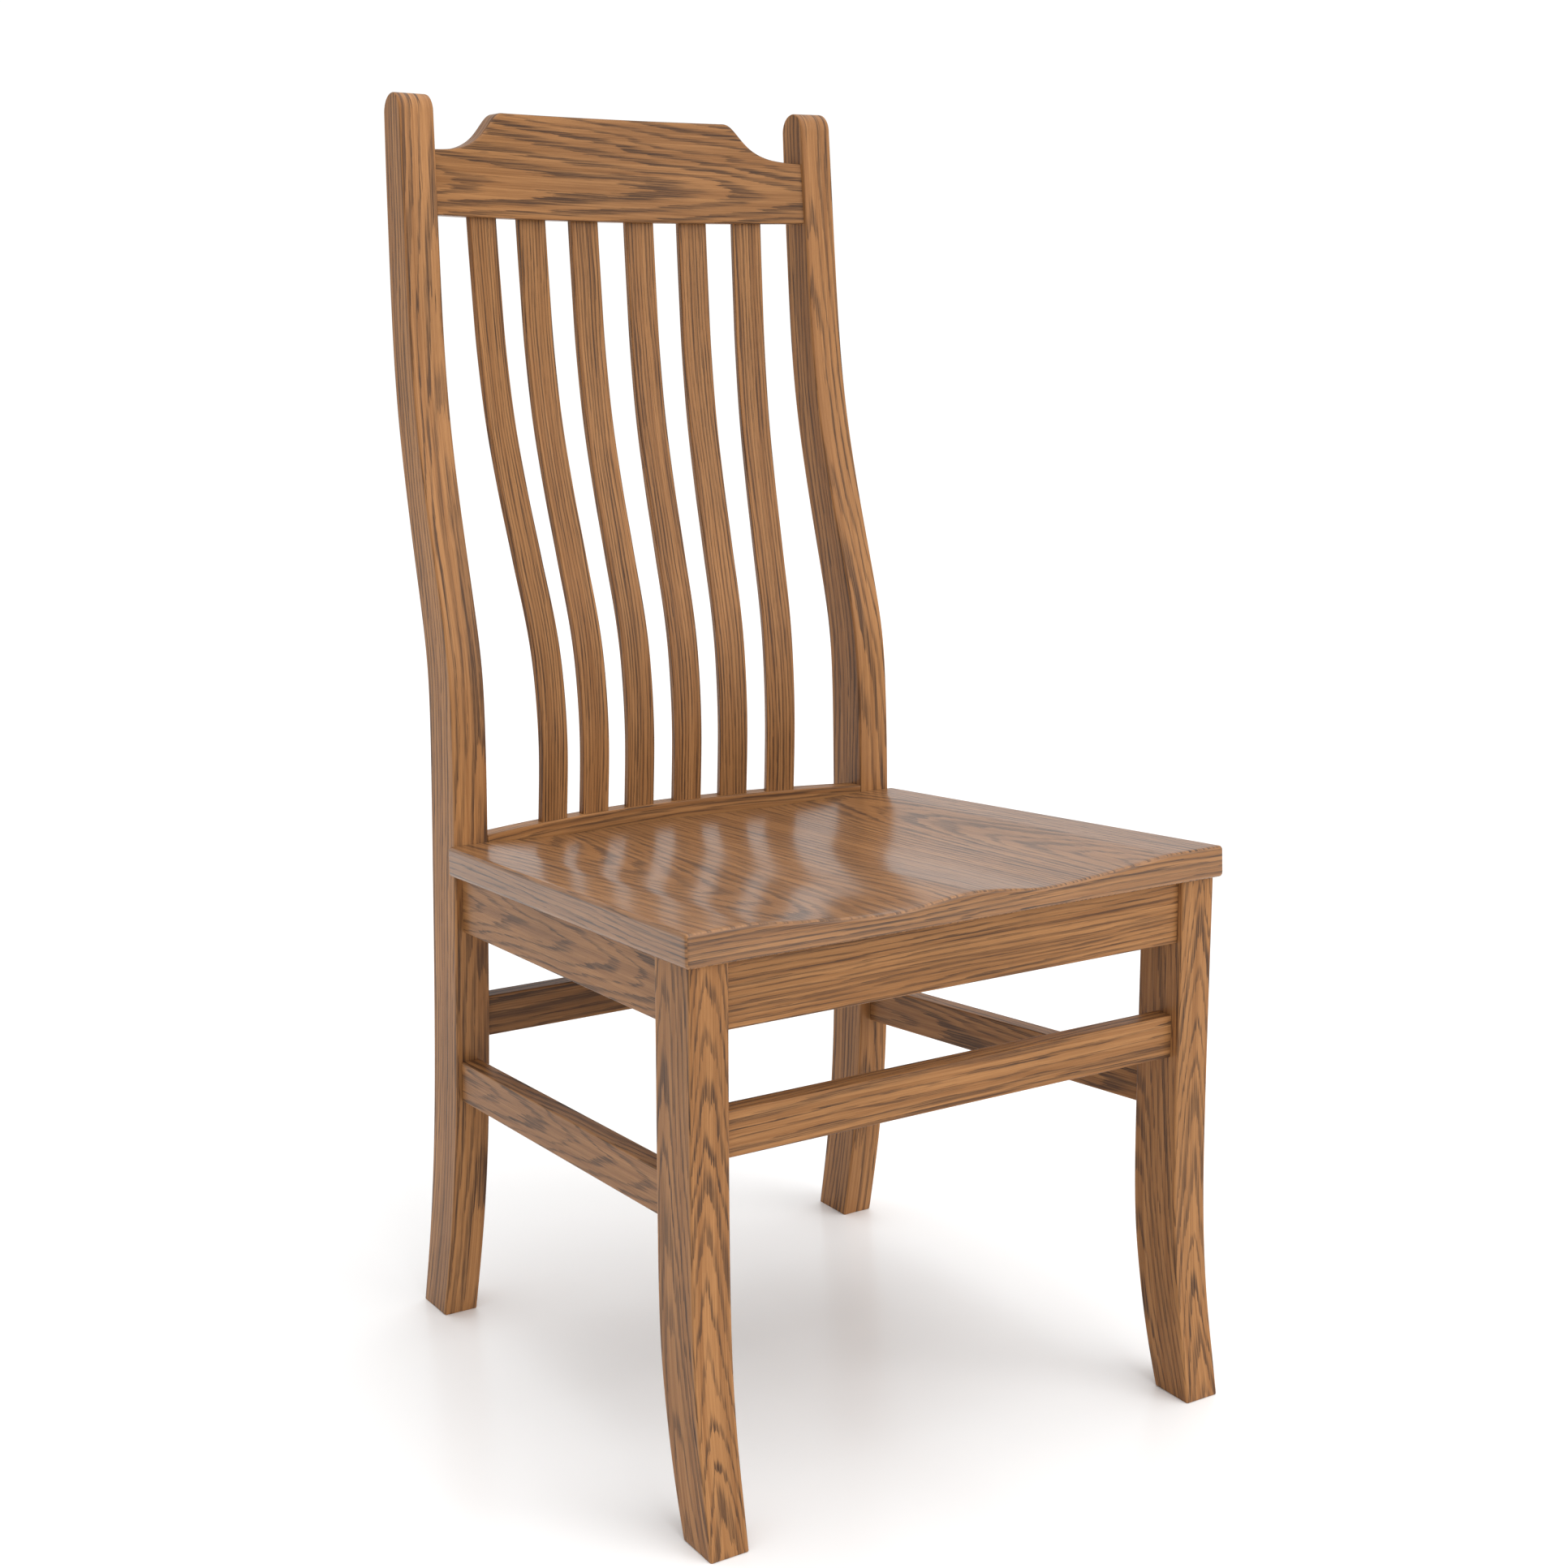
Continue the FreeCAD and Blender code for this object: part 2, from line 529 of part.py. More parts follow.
def apron_inner(y):
    """X of the left side apron's inner face at a distance behind the back line."""
    splay = (dim("side_apron_front") - dim("side_apron_rear")) / dim("leg_rear")
    return -(dim("side_apron_rear") - dim("apron_thick") - splay * y) + 0.05


def corner_block(which):
    """Glue block in a left-hand corner of the seat frame, fitted round the leg or post it braces."""
    leg_x, leg_y = -(dim("leg_half") - dim("leg_width")) + 0.05, -dim("leg_rear") + 0.1
    if which == "front":
        y0 = dim("apron_setback") - dim("leg_front") + dim("apron_thick") + 0.05
        plan = [(leg_x, y0), (-158.0, y0), (apron_inner(-345.0), -345.0), (apron_inner(leg_y), leg_y),
                (leg_x, leg_y)]
    else:
        post_x = -post_inner(dim("rear_block_top")) + 0.05
        y1 = dim("rear_apron_front") - 0.05
        plan = [(apron_inner(-62.0), -62.0), (-138.0, y1), (post_x, y1), (post_x, 0.1),
                (apron_inner(0.1), 0.1)]
    body = new_body("corner_block_%s_blank" % which)
    sk = sketch_on(body, "XY_Plane", "corner_block_%s_plan" % which)
    polygon(sk, plan)
    pad(body, sk, "corner_block_%s_pad" % which, "dims.block_height", reverse=True)
    bind(body, Placement__Base__y=B, Placement__Base__z="dims.%s_block_top" % which)
    return body


SCREWS = {"front": (-192.0, -380.0), "rear": (-184.0, -16.0)}   # left-hand side, behind the back line


def screw_solid(which, grow, name):
    """One wood screw driven up through a corner block into the seat; a grow value makes its hole."""
    x, y = SCREWS[which]
    low = "dims.%s_block_top - dims.block_height" % which
    parts = []
    for kind, radius, start, length in (("shank", "dims.screw_shank / 2", 0.6, "dims.screw_long"),
                                        ("head", "dims.screw_head / 2", 0.2 - 3 * grow, "2.4")):
        rod = doc.addObject("Part::Cylinder", "%s_%s" % (name, kind))
        bind(rod, Radius="%s + %s" % (radius, grow), Height="%s + %s" % (length, 4 * grow),
             Placement__Base__x=str(x), Placement__Base__y="%s + %s" % (B, y),
             Placement__Base__z="%s + %s" % (low, start))
        parts.append(rod)
    return parts


def screws(grow, name):
    """All four seat screws, or their holes."""
    parts = screw_solid("front", grow, name + "_front") + screw_solid("rear", grow, name + "_rear")
    return fuse(name, parts + [mirrored(p.Name + "_other", p) for p in parts])


# ---------------------------------------------------------------- assembly

holes = screws(0.3, "screw_holes")
slots = slot_tools()
nodes = [rear_post(), front_leg(), side_apron(), side_stretcher()]
for which in ("front", "rear"):
    nodes.append(cut("corner_block_%s_left" % which, corner_block(which), holes))
nodes += [mirrored(node.Name.replace("left", "right"), node) for node in list(nodes)]
nodes += [front_apron(), rear_apron(), front_stretcher(), rear_stretcher()]
left_slats = [slat("back_slat_%d" % (3 - i), i, 0.0) for i in range(3)]
nodes += left_slats + [mirrored("back_slat_%d" % (4 + i), s) for i, s in enumerate(left_slats)]
nodes += [lower_back_rail(slots), crest_rail(slots), seat(holes), screws(0.0, "seat_screws")]
doc.recompute()

for obj in doc.Objects:
    assert "Invalid" not in obj.State and "Error" not in obj.State, "%s is %s" % (obj.Name, obj.State)
os.makedirs("parts", exist_ok=True)
for node in nodes:
    node.Label = node.Name
    shape = node.Shape
    assert not shape.isNull() and shape.isValid(), node.Name + " has no valid shape"
    shape.exportStep("parts/%s.step" % node.Label)
    box = shape.optimalBoundingBox(False)
    print("%-26s solids %d  x %.1f..%.1f  y %.1f..%.1f  z %.1f..%.1f" % (
        node.Label, len(shape.Solids), box.XMin, box.XMax, box.YMin, box.YMax, box.ZMin, box.ZMax))
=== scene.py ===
import bpy
import math
import numpy as np
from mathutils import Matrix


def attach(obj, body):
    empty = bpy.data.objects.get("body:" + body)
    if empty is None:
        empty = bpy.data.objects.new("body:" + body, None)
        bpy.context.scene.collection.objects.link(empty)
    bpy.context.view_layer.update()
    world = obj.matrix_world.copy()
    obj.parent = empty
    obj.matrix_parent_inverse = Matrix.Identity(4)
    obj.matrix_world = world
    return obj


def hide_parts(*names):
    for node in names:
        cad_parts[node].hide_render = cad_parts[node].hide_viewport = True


# Oak dining side chair. Every wooden piece is a surface worked out as whole arrays in the frame's own
# coordinates; each face carries the run of its grain, so the figure follows sawn curves and bent slats.

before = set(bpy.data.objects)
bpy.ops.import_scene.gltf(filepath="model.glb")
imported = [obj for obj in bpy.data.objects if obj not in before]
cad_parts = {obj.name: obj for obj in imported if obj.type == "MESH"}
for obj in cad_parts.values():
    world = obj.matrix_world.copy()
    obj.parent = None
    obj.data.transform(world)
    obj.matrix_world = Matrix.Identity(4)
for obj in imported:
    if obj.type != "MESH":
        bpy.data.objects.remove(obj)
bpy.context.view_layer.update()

MM = 0.001
BACK = 0.15365                           # y of the rear posts' front faces at seat height
SLOPE = math.tan(math.radians(3.45))     # fall of the seat towards the back
LEAN = math.tan(math.radians(0.817))     # inward lean of the posts
GAP = 0.00005                            # clearance where two boards meet
FINE_EDGE, STOUT_EDGE = 0.0012, 0.0018   # eased edges of boards, and of posts and legs

POST_HALF, POST_WIDTH = 0.2285, 0.031    # half spread at the floor, width of one post
POST_TOP = 1036                          # where the posts' rounded crowns begin, in millimetres
LEG_HALF, LEG_WIDTH = 0.2413, 0.032
LEG_FACE, LEG_BACK = 0.4213, 0.3722      # the leg's front and rear faces, forward of the back line
SEAT_REAR, SEAT_THICK = 0.4313, 0.0251   # height of the seat's rear edge, thickness before the scoop
UNDER_REAR = SEAT_REAR - SEAT_THICK / math.cos(math.atan(SLOPE)) - 0.0001
UNDER_FRONT = UNDER_REAR + LEG_BACK * SLOPE
RAIL_BOW = 0.031                         # bow of the lower back rail and of the seat's back edge
APRON_THICK, APRON_HEIGHT, APRON_SETBACK = 0.019, 0.050, 0.0058
APRON_REAR_HALF, APRON_FRONT_HALF = 0.2165, 0.2348        # half spread of the side aprons at their ends
STRETCHER_THICK, STRETCHER_HEIGHT = 0.017, 0.035
BLOCK_HEIGHT = 0.034
CREST_FOOT, CREST_SHOULDER, CREST_THICK, CREST_TIP = 0.9524, 1.0064, 0.020, math.radians(4.3)

# Side profiles as (height, distance behind the back line) in millimetres; forward is negative.

POST_FRONT = [(0, 33.5), (60, 20.5), (120, 10.3), (180, 4.1), (260, 1.0), (360, 0.3), (460, 0.3),
              (530, 2.4), (580, 7.7), (626, 19.6), (675, 34.9), (730, 51.3), (790, 65.6), (850, 74.7),
              (920, 81.2), (990, 86.5), (1036, 90.0)]
POST_REAR = [(0, 77.0), (60, 65.3), (120, 56.7), (180, 51.5), (260, 48.4), (360, 47.2), (460, 47.2),
             (530, 48.1), (580, 52.4), (626, 63.2), (675, 77.3), (730, 92.2), (790, 105.3), (850, 113.1),
             (920, 118.0), (990, 121.7), (1036, 123.4)]
LEG_FRONT = [(0, -446.0), (30, -440.4), (60, -434.6), (90, -429.8), (125, -425.9), (165, -423.3),
             (215, -422.0), (280, -421.4), (350, -421.3)]
LEG_REAR = [(0, -406.5), (30, -396.9), (60, -388.9), (90, -382.6), (125, -376.9), (165, -373.6),
            (215, -372.5), (280, -372.2), (350, -372.2)]
SLAT_CURVE = [(425, 3.6), (460, 1.7), (495, 0.4), (530, 1.7), (556, 4.3), (580, 8.0), (602, 13.0),
              (626, 20.1), (651, 28.4), (675, 36.0), (704, 45.4), (730, 53.1), (760, 61.3), (790, 68.0),
              (820, 73.2), (850, 77.5), (885, 81.0), (920, 84.3), (966, 88.0)]
SLATS = [(116.4, 23.3, 11.2), (71.2, 32.6, 6.6), (24.3, 35.2, 2.5)]      # x, set back, turn; outer first
SLAT_WIDTH, SLAT_HALF_THICK = 0.0274, 0.0037

# Depth of the seat's scoop in millimetres at each distance from its middle, in front, halfway and behind.
DISH_X = [0, 20, 42, 64, 88, 112, 140, 165, 184, 196]
DISH_FRONT = [3.4, 4.8, 7.2, 9.4, 9.0, 7.4, 5.2, 2.6, 0.6, -0.3]
DISH_MIDDLE = [7.4, 7.7, 8.6, 9.6, 9.6, 8.5, 6.4, 3.4, 0.9, -0.3]
DISH_REAR = [6.6, 6.8, 7.2, 7.5, 7.3, 6.5, 4.8, 2.6, 0.7, -0.3]
DISH_FADE = (0.3868, 0.2168, 0.2768)     # front row, middle row, and the run from there to the rear row

# Outline of the crest's ogee as (distance from the middle, height above the shoulder) in millimetres.
CREST_OGEE = [(108.0, 33.6), (114.6, 32.9), (119.6, 29.4), (126.0, 22.2), (133.0, 14.6), (141.0, 8.6),
              (151.4, 4.0), (162.0, 1.6)]


# ---------------------------------------------------------------- curves and skins

def smooth(table, at):
    """Natural cubic spline through (position, value) pairs: the second slopes solve the tridiagonal
    system that makes each bend run on without a jump, and are nought at both ends."""
    x, y = np.array(table, float).T
    h = np.diff(x)
    n = len(x)
    system, right = np.eye(n), np.zeros(n)
    row = np.arange(1, n - 1)
    system[row, row - 1], system[row, row], system[row, row + 1] = h[:-1], 2 * (h[:-1] + h[1:]), h[1:]
    right[1:-1] = 6 * np.diff(np.diff(y) / h)
    bend = np.linalg.solve(system, right)
    at = np.asarray(at, float)
    k = np.clip(np.searchsorted(x, at) - 1, 0, n - 2)
    a, b = (x[k + 1] - at) / h[k], (at - x[k]) / h[k]
    return a * y[k] + b * y[k + 1] + ((a ** 3 - a) * bend[k] + (b ** 3 - b) * bend[k + 1]) * h[k] ** 2 / 6


def unit(v):
    """Vectors divided by their own length."""
    return v / np.maximum(np.linalg.norm(v, axis=-1, keepdims=True), 1e-9)


def ring_walls(corners, ease, into_a=None, into_b=None, cuts=(3, 3)):
    """Rounded four-sided section at every station. Corners run c0 c1 c2 c3; walls 0 and 2 lie along c0-c1
    and c2-c3, walls 1 and 3 along c1-c2 and c3-c0. A wall runs straight between its two tangent points;
    a corner is c + e*(p*(1 - sin t) + q*(1 - cos t)), with p and q the unit ways into its two walls and t
    from 0 to 90 degrees. Returns points (stations, ring, 3) and the wall each ring step belongs to."""
    c = np.asarray(corners, float)
    if into_a is None:
        along = unit(c[:, 1] - c[:, 0]), unit(c[:, 3] - c[:, 2])
        into_a = np.stack([along[0], -along[0], along[1], -along[1]], 1)
    if into_b is None:
        side = unit(c[:, 2] - c[:, 1]), unit(c[:, 0] - c[:, 3])
        into_b = np.stack([-side[1], side[0], -side[0], side[1]], 1)
    points, owner = [], []
    turn = np.radians([22.5, 45.0, 67.5])
    for wall in range(4):
        j = (wall + 1) % 4
        mine = into_a if wall % 2 == 0 else into_b
        other = into_b if wall % 2 == 0 else into_a
        start, end = c[:, wall] + mine[:, wall] * ease, c[:, j] + mine[:, j] * ease
        steps = np.concatenate([[0, 0.03], np.linspace(0.03, 0.97, cuts[wall % 2] + 1)[1:-1], [0.97, 1]])
        points.append(start[:, None] * (1 - steps[:, None]) + end[:, None] * steps[:, None])
        points.append(c[:, j, None] + mine[:, j, None] * (ease * (1 - np.sin(turn)))[:, None]
                      + other[:, j, None] * (ease * (1 - np.cos(turn)))[:, None])
        owner += [wall] * (len(steps) + 1) + [j] * 2
    return np.concatenate(points, 1), np.array(owner)


CELL = ((0, 0), (0, 1), (1, 1), (1, 0))      # corners of a grid cell: next ring or not, next step or not


def cell_corners(points):
    """The grid of rings as each corner of its cells meets it: shifted a ring, a step, both or neither."""
    for corner, (ring, step) in enumerate(CELL):
        grid = np.roll(points, -step, axis=1)
        yield corner, grid[1:] if ring else grid[:-1]


def figure(along, across, seed, centre=0.0, depth=0.02, pitch=1.0, taper=0.045):
    """Grain run and ring distance of a sawn face: distance = pitch * (sqrt((across - centre)^2 + depth^2)
    + taper * along), so a face over the heart shows arches and one far from it shows straight lines."""
    across = across + 0.0 * along
    along = along + 0.0 * across
    run = np.stack([along + 1.7 * seed, across - centre, np.full_like(across, 0.31 * seed)], -1)
    return run, pitch * (np.sqrt((across - centre) ** 2 + depth ** 2) + taper * along + 0.0137 * seed)


def look(seed, **how):
    """The figure asked for on one wall of a board."""
    return dict(seed=seed, **how)


def lay(mesh, label, kind, field, values):
    """One value on every corner of every face."""
    mesh.attributes.new(label, kind, "CORNER").data.foreach_set(field, values.astype(np.float32).ravel())


def skin(name, points, runs, rings, piece_tone_and_painted_shade=1.0, finish=None, mirror=False):
    """Closed mesh from a grid of rings. Points that coincide are merged, steps that shrink to nothing are
    dropped, and the faces are turned outwards by the sign of the enclosed volume."""
    n, m = points.shape[:2]
    if mirror:
        points = points * np.array([-1.0, 1.0, 1.0])
    i, j = np.meshgrid(np.arange(n - 1), np.arange(m), indexing="ij")
    k = (j + 1) % m
    quads = np.stack([i * m + j, i * m + k, (i + 1) * m + k, (i + 1) * m + j], -1).reshape(-1, 4)
    flat = points.reshape(-1, 3)
    runs, rings = runs.reshape(-1, 4, 3), rings.reshape(-1, 4)
    _, first, back = np.unique(np.round(flat * 2e5).astype(np.int64), axis=0, return_index=True,
                               return_inverse=True)
    quads = back.reshape(-1)[quads]
    flat = flat[first]
    a, b, c, d = (flat[quads[:, q]] for q in range(4))
    volume = (np.cross(a, b) * c).sum() + (np.cross(a, c) * d).sum()
    if volume < 0:
        quads, runs, rings = quads[:, ::-1], runs[:, ::-1], rings[:, ::-1]
    keep = quads != np.roll(quads, -1, axis=1)
    keep &= ~((quads[:, 0] == quads[:, 2]) | (quads[:, 1] == quads[:, 3]))[:, None]
    full = keep.sum(1) >= 3
    quads, runs, rings, keep = quads[full], runs[full], rings[full], keep[full]
    mesh = bpy.data.meshes.new(name)
    mesh.vertices.add(len(flat))
    mesh.vertices.foreach_set("co", flat.astype(np.float32).ravel())
    mesh.loops.add(int(keep.sum()))
    mesh.loops.foreach_set("vertex_index", quads[keep].astype(np.int32))
    mesh.polygons.add(len(quads))
    starts = np.concatenate([[0], np.cumsum(keep.sum(1))[:-1]])
    mesh.polygons.foreach_set("loop_start", starts.astype(np.int32))
    mesh.polygons.foreach_set("use_smooth", np.ones(len(quads), bool))
    mesh.update(calc_edges=True)
    lay(mesh, "grain_run", "FLOAT_VECTOR", "vector", runs[keep])
    lay(mesh, "ring_distance", "FLOAT", "value", rings[keep])
    # one brightness factor for the whole piece: the board's own tone, and painted shade where a piece is
    # darkened for the shade it sits in (the slats a little, the rear stretcher most)
    lay(mesh, "board_tone_with_painted_shade", "FLOAT", "value", np.full(int(keep.sum()), piece_tone_and_painted_shade))
    mesh.set_sharp_from_angle(angle=math.radians(40))
    piece = bpy.data.objects.new(name, mesh)
    bpy.context.scene.collection.objects.link(piece)
    piece.data.materials.append(finish or stained_oak)
    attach(piece, "root")
    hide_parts(name)
    return piece


def closed(points, foot=0.0):
    """Adds the two ends. A foot is eased: rings shrink towards their middle by e*(1 - cos t) while they
    drop by e*sin t; every end is then drawn to its middle point."""
    first, last = points[:1], points[-1:]
    parts = []
    if foot:
        middle = first.mean(1, keepdims=True)
        way = first - middle
        size = np.linalg.norm(way[..., :2], axis=-1, keepdims=True)
        for t in np.radians([90, 60, 30]):
            ring = middle + way * (1 - foot * (1 - math.cos(t)) / size)
            ring[..., 2] = first[..., 2] - foot * math.sin(t)
            parts.append(ring)
        first = parts[0]
    parts = [np.broadcast_to(first.mean(1, keepdims=True), first.shape)] + parts
    return np.concatenate(parts + [points, np.broadcast_to(last.mean(1, keepdims=True), last.shape)])


def wall_figures(points, owner, figures):
    """Grain of a ring grid: along is the way travelled by the middles of the rings, across is the way round
    the ring from the middle of the wall that the step belongs to."""
    middles = points.mean(1)
    along = np.concatenate([[0], np.cumsum(np.linalg.norm(np.diff(middles, axis=0), axis=1))])
    around = np.linalg.norm(np.roll(points, -1, axis=1) - points, axis=2)
    around = np.concatenate([np.zeros((len(points), 1)), np.cumsum(around, 1)], 1)
    total = around[:, -1]
    m = points.shape[1]
    runs = np.zeros((len(points) - 1, m, 4, 3))
    rings = np.zeros((len(points) - 1, m, 4))
    for wall in range(4):
        steps = np.where(owner == wall)[0]
        late = (wall == 0) & (steps > m // 2)          # steps of the last corner that belong to wall 0
        inner = steps[~late]
        start = 0 if wall == 0 else around[:, inner[0]]
        middle = (start + around[:, inner[-1] + 1]) / 2
        here = [around[:, steps + q] - middle[:, None] - np.where(late, total[:, None], 0) for q in (0, 1)]
        for corner, (ring, step) in enumerate(CELL):
            pick = slice(1, None) if ring else slice(0, -1)
            runs[:, steps, corner], rings[:, steps, corner] = figure(along[pick, None], here[step][pick],
                                                                     **figures[wall])
    return runs, rings


def board(name, corners, ease, figures, foot=0.0, piece_tone_and_painted_shade=1.0, mirror=False, turn=None, **walls):
    """A board: eased four-sided rings along its stations, ends closed, grain laid on its four walls."""
    points, owner = ring_walls(corners, ease, **walls)
    if turn is not None:
        points = turn(points)
    points = closed(points, foot)
    if foot:
        points[..., 2] = np.maximum(points[..., 2], 0.0)
    runs, rings = wall_figures(points, owner, figures)
    return skin(name, points, runs, rings, piece_tone_and_painted_shade=piece_tone_and_painted_shade, mirror=mirror)


def arc(x, half, bow):
    """Height of a circular arc over a chord: sqrt(r^2 - x^2) - (r - bow), where the radius r is
    (half^2 + bow^2) / (2 bow)."""
    r = (half ** 2 + bow ** 2) / (2 * bow)
    return np.sqrt(np.maximum(r ** 2 - np.asarray(x) ** 2, 0)) - (r - bow)


def post_inner(z):
    """Half distance between the posts' inner faces at a height."""
    return POST_HALF - POST_WIDTH / math.cos(math.atan(LEAN)) - LEAN * z - GAP


# ---------------------------------------------------------------- finish

def sockets(tree, inputs, outputs):
    """Named inputs and outputs of a node group, with their resting values."""
    for side, items in (("INPUT", inputs), ("OUTPUT", outputs)):
        for label, kind, value in items:
            made = tree.interface.new_socket(name=label, in_out=side, socket_type="NodeSocket" + kind)
            if value is not None:
                made.default_value = value


def oak_figure_group():
    """Brown-stained oak: rings broken up by the fibres, open pores that took more stain, soft streaks."""
    tree = bpy.data.node_groups.new("oak_figure", "ShaderNodeTree")
    sockets(tree, [("Grain Run", "Vector", None), ("Ring Distance", "Float", 0.0), ("Tone With Painted Shade", "Float", 1.0),
                   ("Ring Pitch", "Float", 0.0058), ("Light Wood", "Color", (0.376, 0.180, 0.068, 1)),
                   ("Warm Wood", "Color", (0.222, 0.096, 0.034, 1)),
                   ("Stained Ring", "Color", (0.062, 0.032, 0.019, 1))],
            [("Color", "Color", None), ("Roughness", "Float", None), ("Height", "Float", None)])
    nodes, links = tree.nodes, tree.links
    entry, leave = nodes.new("NodeGroupInput"), nodes.new("NodeGroupOutput")

    def put(socket, value):
        """A socket linked or a number set."""
        if isinstance(value, bpy.types.NodeSocket):
            links.new(value, socket)
        else:
            socket.default_value = value

    def reckon(kind, *values, clamp=False):
        """One step of arithmetic on sockets or numbers."""
        node = nodes.new("ShaderNodeMath")
        node.operation, node.use_clamp = kind, clamp
        for socket, value in zip(node.inputs, values):
            put(socket, value)
        return node.outputs[0]

    def fibres(stretch, detail, rough=0.55, off=0.0):
        """Noise drawn out along the grain: stretch is its fineness along and across, per metre."""
        scaled = nodes.new("ShaderNodeVectorMath")
        scaled.operation = "MULTIPLY"
        put(scaled.inputs[0], entry.outputs["Grain Run"])
        scaled.inputs[1].default_value = (stretch[0], stretch[1], stretch[1] + off)
        noise = nodes.new("ShaderNodeTexNoise")
        noise.inputs["Scale"].default_value = 1.0
        noise.inputs["Detail"].default_value = detail
        noise.inputs["Roughness"].default_value = rough
        put(noise.inputs["Vector"], scaled.outputs[0])
        return noise.outputs["Fac"]

    def ramp(value, low, high, to_low=0.0, to_high=1.0, kind="SMOOTHSTEP"):
        """A value carried from one range to another, softly or in a straight line."""
        node = nodes.new("ShaderNodeMapRange")
        node.interpolation_type = kind
        for socket, v in zip(node.inputs, (value, low, high, to_low, to_high)):
            put(socket, v)
        return node.outputs[0]

    def mix(factor, a, b):
        """One colour passing into another."""
        node = nodes.new("ShaderNodeMix")
        node.data_type = "RGBA"
        put(node.inputs["Factor"], factor)
        put(node.inputs[6], a)
        put(node.inputs[7], b)
        return node.outputs[2]

    # ring distance: slow wander, sway of a few rings, and a ragged edge drawn out along the fibres
    wander = reckon("MULTIPLY", reckon("SUBTRACT", fibres((2.2, 9.0), 2.0), 0.5), 0.030)
    sway = reckon("MULTIPLY", reckon("SUBTRACT", fibres((8.0, 60.0), 2.0, off=3.0), 0.5), 0.0075)
    ragged = reckon("MULTIPLY", reckon("SUBTRACT", fibres((20.0, 560.0), 3.0, 0.62, off=9.0), 0.5), 0.0050)
    distance = reckon("ADD", entry.outputs["Ring Distance"], wander)
    distance = reckon("ADD", distance, reckon("ADD", sway, ragged))
    count = reckon("DIVIDE", distance, entry.outputs["Ring Pitch"])
    part, number = reckon("FRACT", count), reckon("FLOOR", count)
    chance = nodes.new("ShaderNodeTexWhiteNoise")
    chance.noise_dimensions = "1D"
    put(chance.inputs["W"], number)
    # each ring has its own width and depth of colour: sharp on one side, fading on the other
    width = ramp(chance.outputs["Value"], 0.0, 1.0, 0.28, 0.92, "LINEAR")
    other = reckon("FRACT", reckon("MULTIPLY", chance.outputs["Value"], 7.31))
    band = reckon("MULTIPLY", ramp(part, 0.0, 0.05),
                reckon("SUBTRACT", 1.0, ramp(part, reckon("MULTIPLY", width, 0.45), width)))
    band = reckon("MULTIPLY", band, ramp(other, 0.0, 1.0, 0.62, 1.0, "LINEAR"))
    threads = ramp(fibres((11.0, 900.0), 3.0, 0.6, off=21.0), 0.40, 0.60)
    pores = ramp(fibres((75.0, 2500.0), 2.0, 0.5, off=33.0), 0.56, 0.70)
    streaks = ramp(fibres((2.2, 170.0), 4.0, 0.65, off=41.0), 0.36, 0.64)
    clouds = ramp(fibres((5.0, 12.0), 1.0, off=55.0), 0.3, 0.7, 0.90, 1.08, "LINEAR")
    dark = reckon("MULTIPLY", band, ramp(threads, 0.0, 1.0, 0.42, 1.0, "LINEAR"))
    warmth = reckon("MULTIPLY", reckon("ADD", streaks, reckon("MULTIPLY", threads, 0.6)), 0.6, clamp=True)
    wood = mix(warmth, entry.outputs["Light Wood"], entry.outputs["Warm Wood"])
    wood = mix(dark, wood, entry.outputs["Stained Ring"])
    open_grain = reckon("MULTIPLY", pores, reckon("ADD", 0.10, reckon("MULTIPLY", band, 0.30)))
    shade = reckon("MULTIPLY", reckon("SUBTRACT", 1.0, open_grain), clouds)
    # the per-piece factor scales the colour: board tone, and painted shade on the slats and the rear
    # stretcher
    shade = reckon("MULTIPLY", shade, entry.outputs["Tone With Painted Shade"])
    paint = nodes.new("ShaderNodeVectorMath")
    paint.operation = "SCALE"
    put(paint.inputs[0], wood)
    put(paint.inputs["Scale"], shade)
    put(leave.inputs["Color"], paint.outputs[0])
    rough = reckon("ADD", reckon("MULTIPLY", pores, 0.10), reckon("MULTIPLY", dark, 0.06))
    put(leave.inputs["Roughness"], reckon("ADD", 0.33, rough))
    sunk = reckon("ADD", reckon("MULTIPLY", pores, 0.55), reckon("MULTIPLY", dark, 0.35))
    put(leave.inputs["Height"], reckon("SUBTRACT", reckon("MULTIPLY", threads, 0.12), sunk))
    return tree


def bare_finish(name):
    """A new material, its nodes, its links and its shader."""
    material = bpy.data.materials.new(name)
    material.use_nodes = True
    tree = material.node_tree
    return material, tree.nodes, tree.links, tree.nodes["Principled BSDF"]


def two_tints(nodes, links, texture, first, second):
    """Base tint that drifts between two colours with a texture."""
    tint = nodes.new("ShaderNodeMix")
    tint.data_type = "RGBA"
    tint.inputs[6].default_value, tint.inputs[7].default_value = first, second
    links.new(texture.outputs["Fac"], tint.inputs["Factor"])
    links.new(tint.outputs[2], nodes["Principled BSDF"].inputs["Base Color"])


def spread_noise(nodes, links, scale):
    """Even noise on object coordinates."""
    place, noise = nodes.new("ShaderNodeTexCoord"), nodes.new("ShaderNodeTexNoise")
    noise.inputs["Scale"].default_value = scale
    links.new(place.outputs["Object"], noise.inputs["Vector"])
    return noise


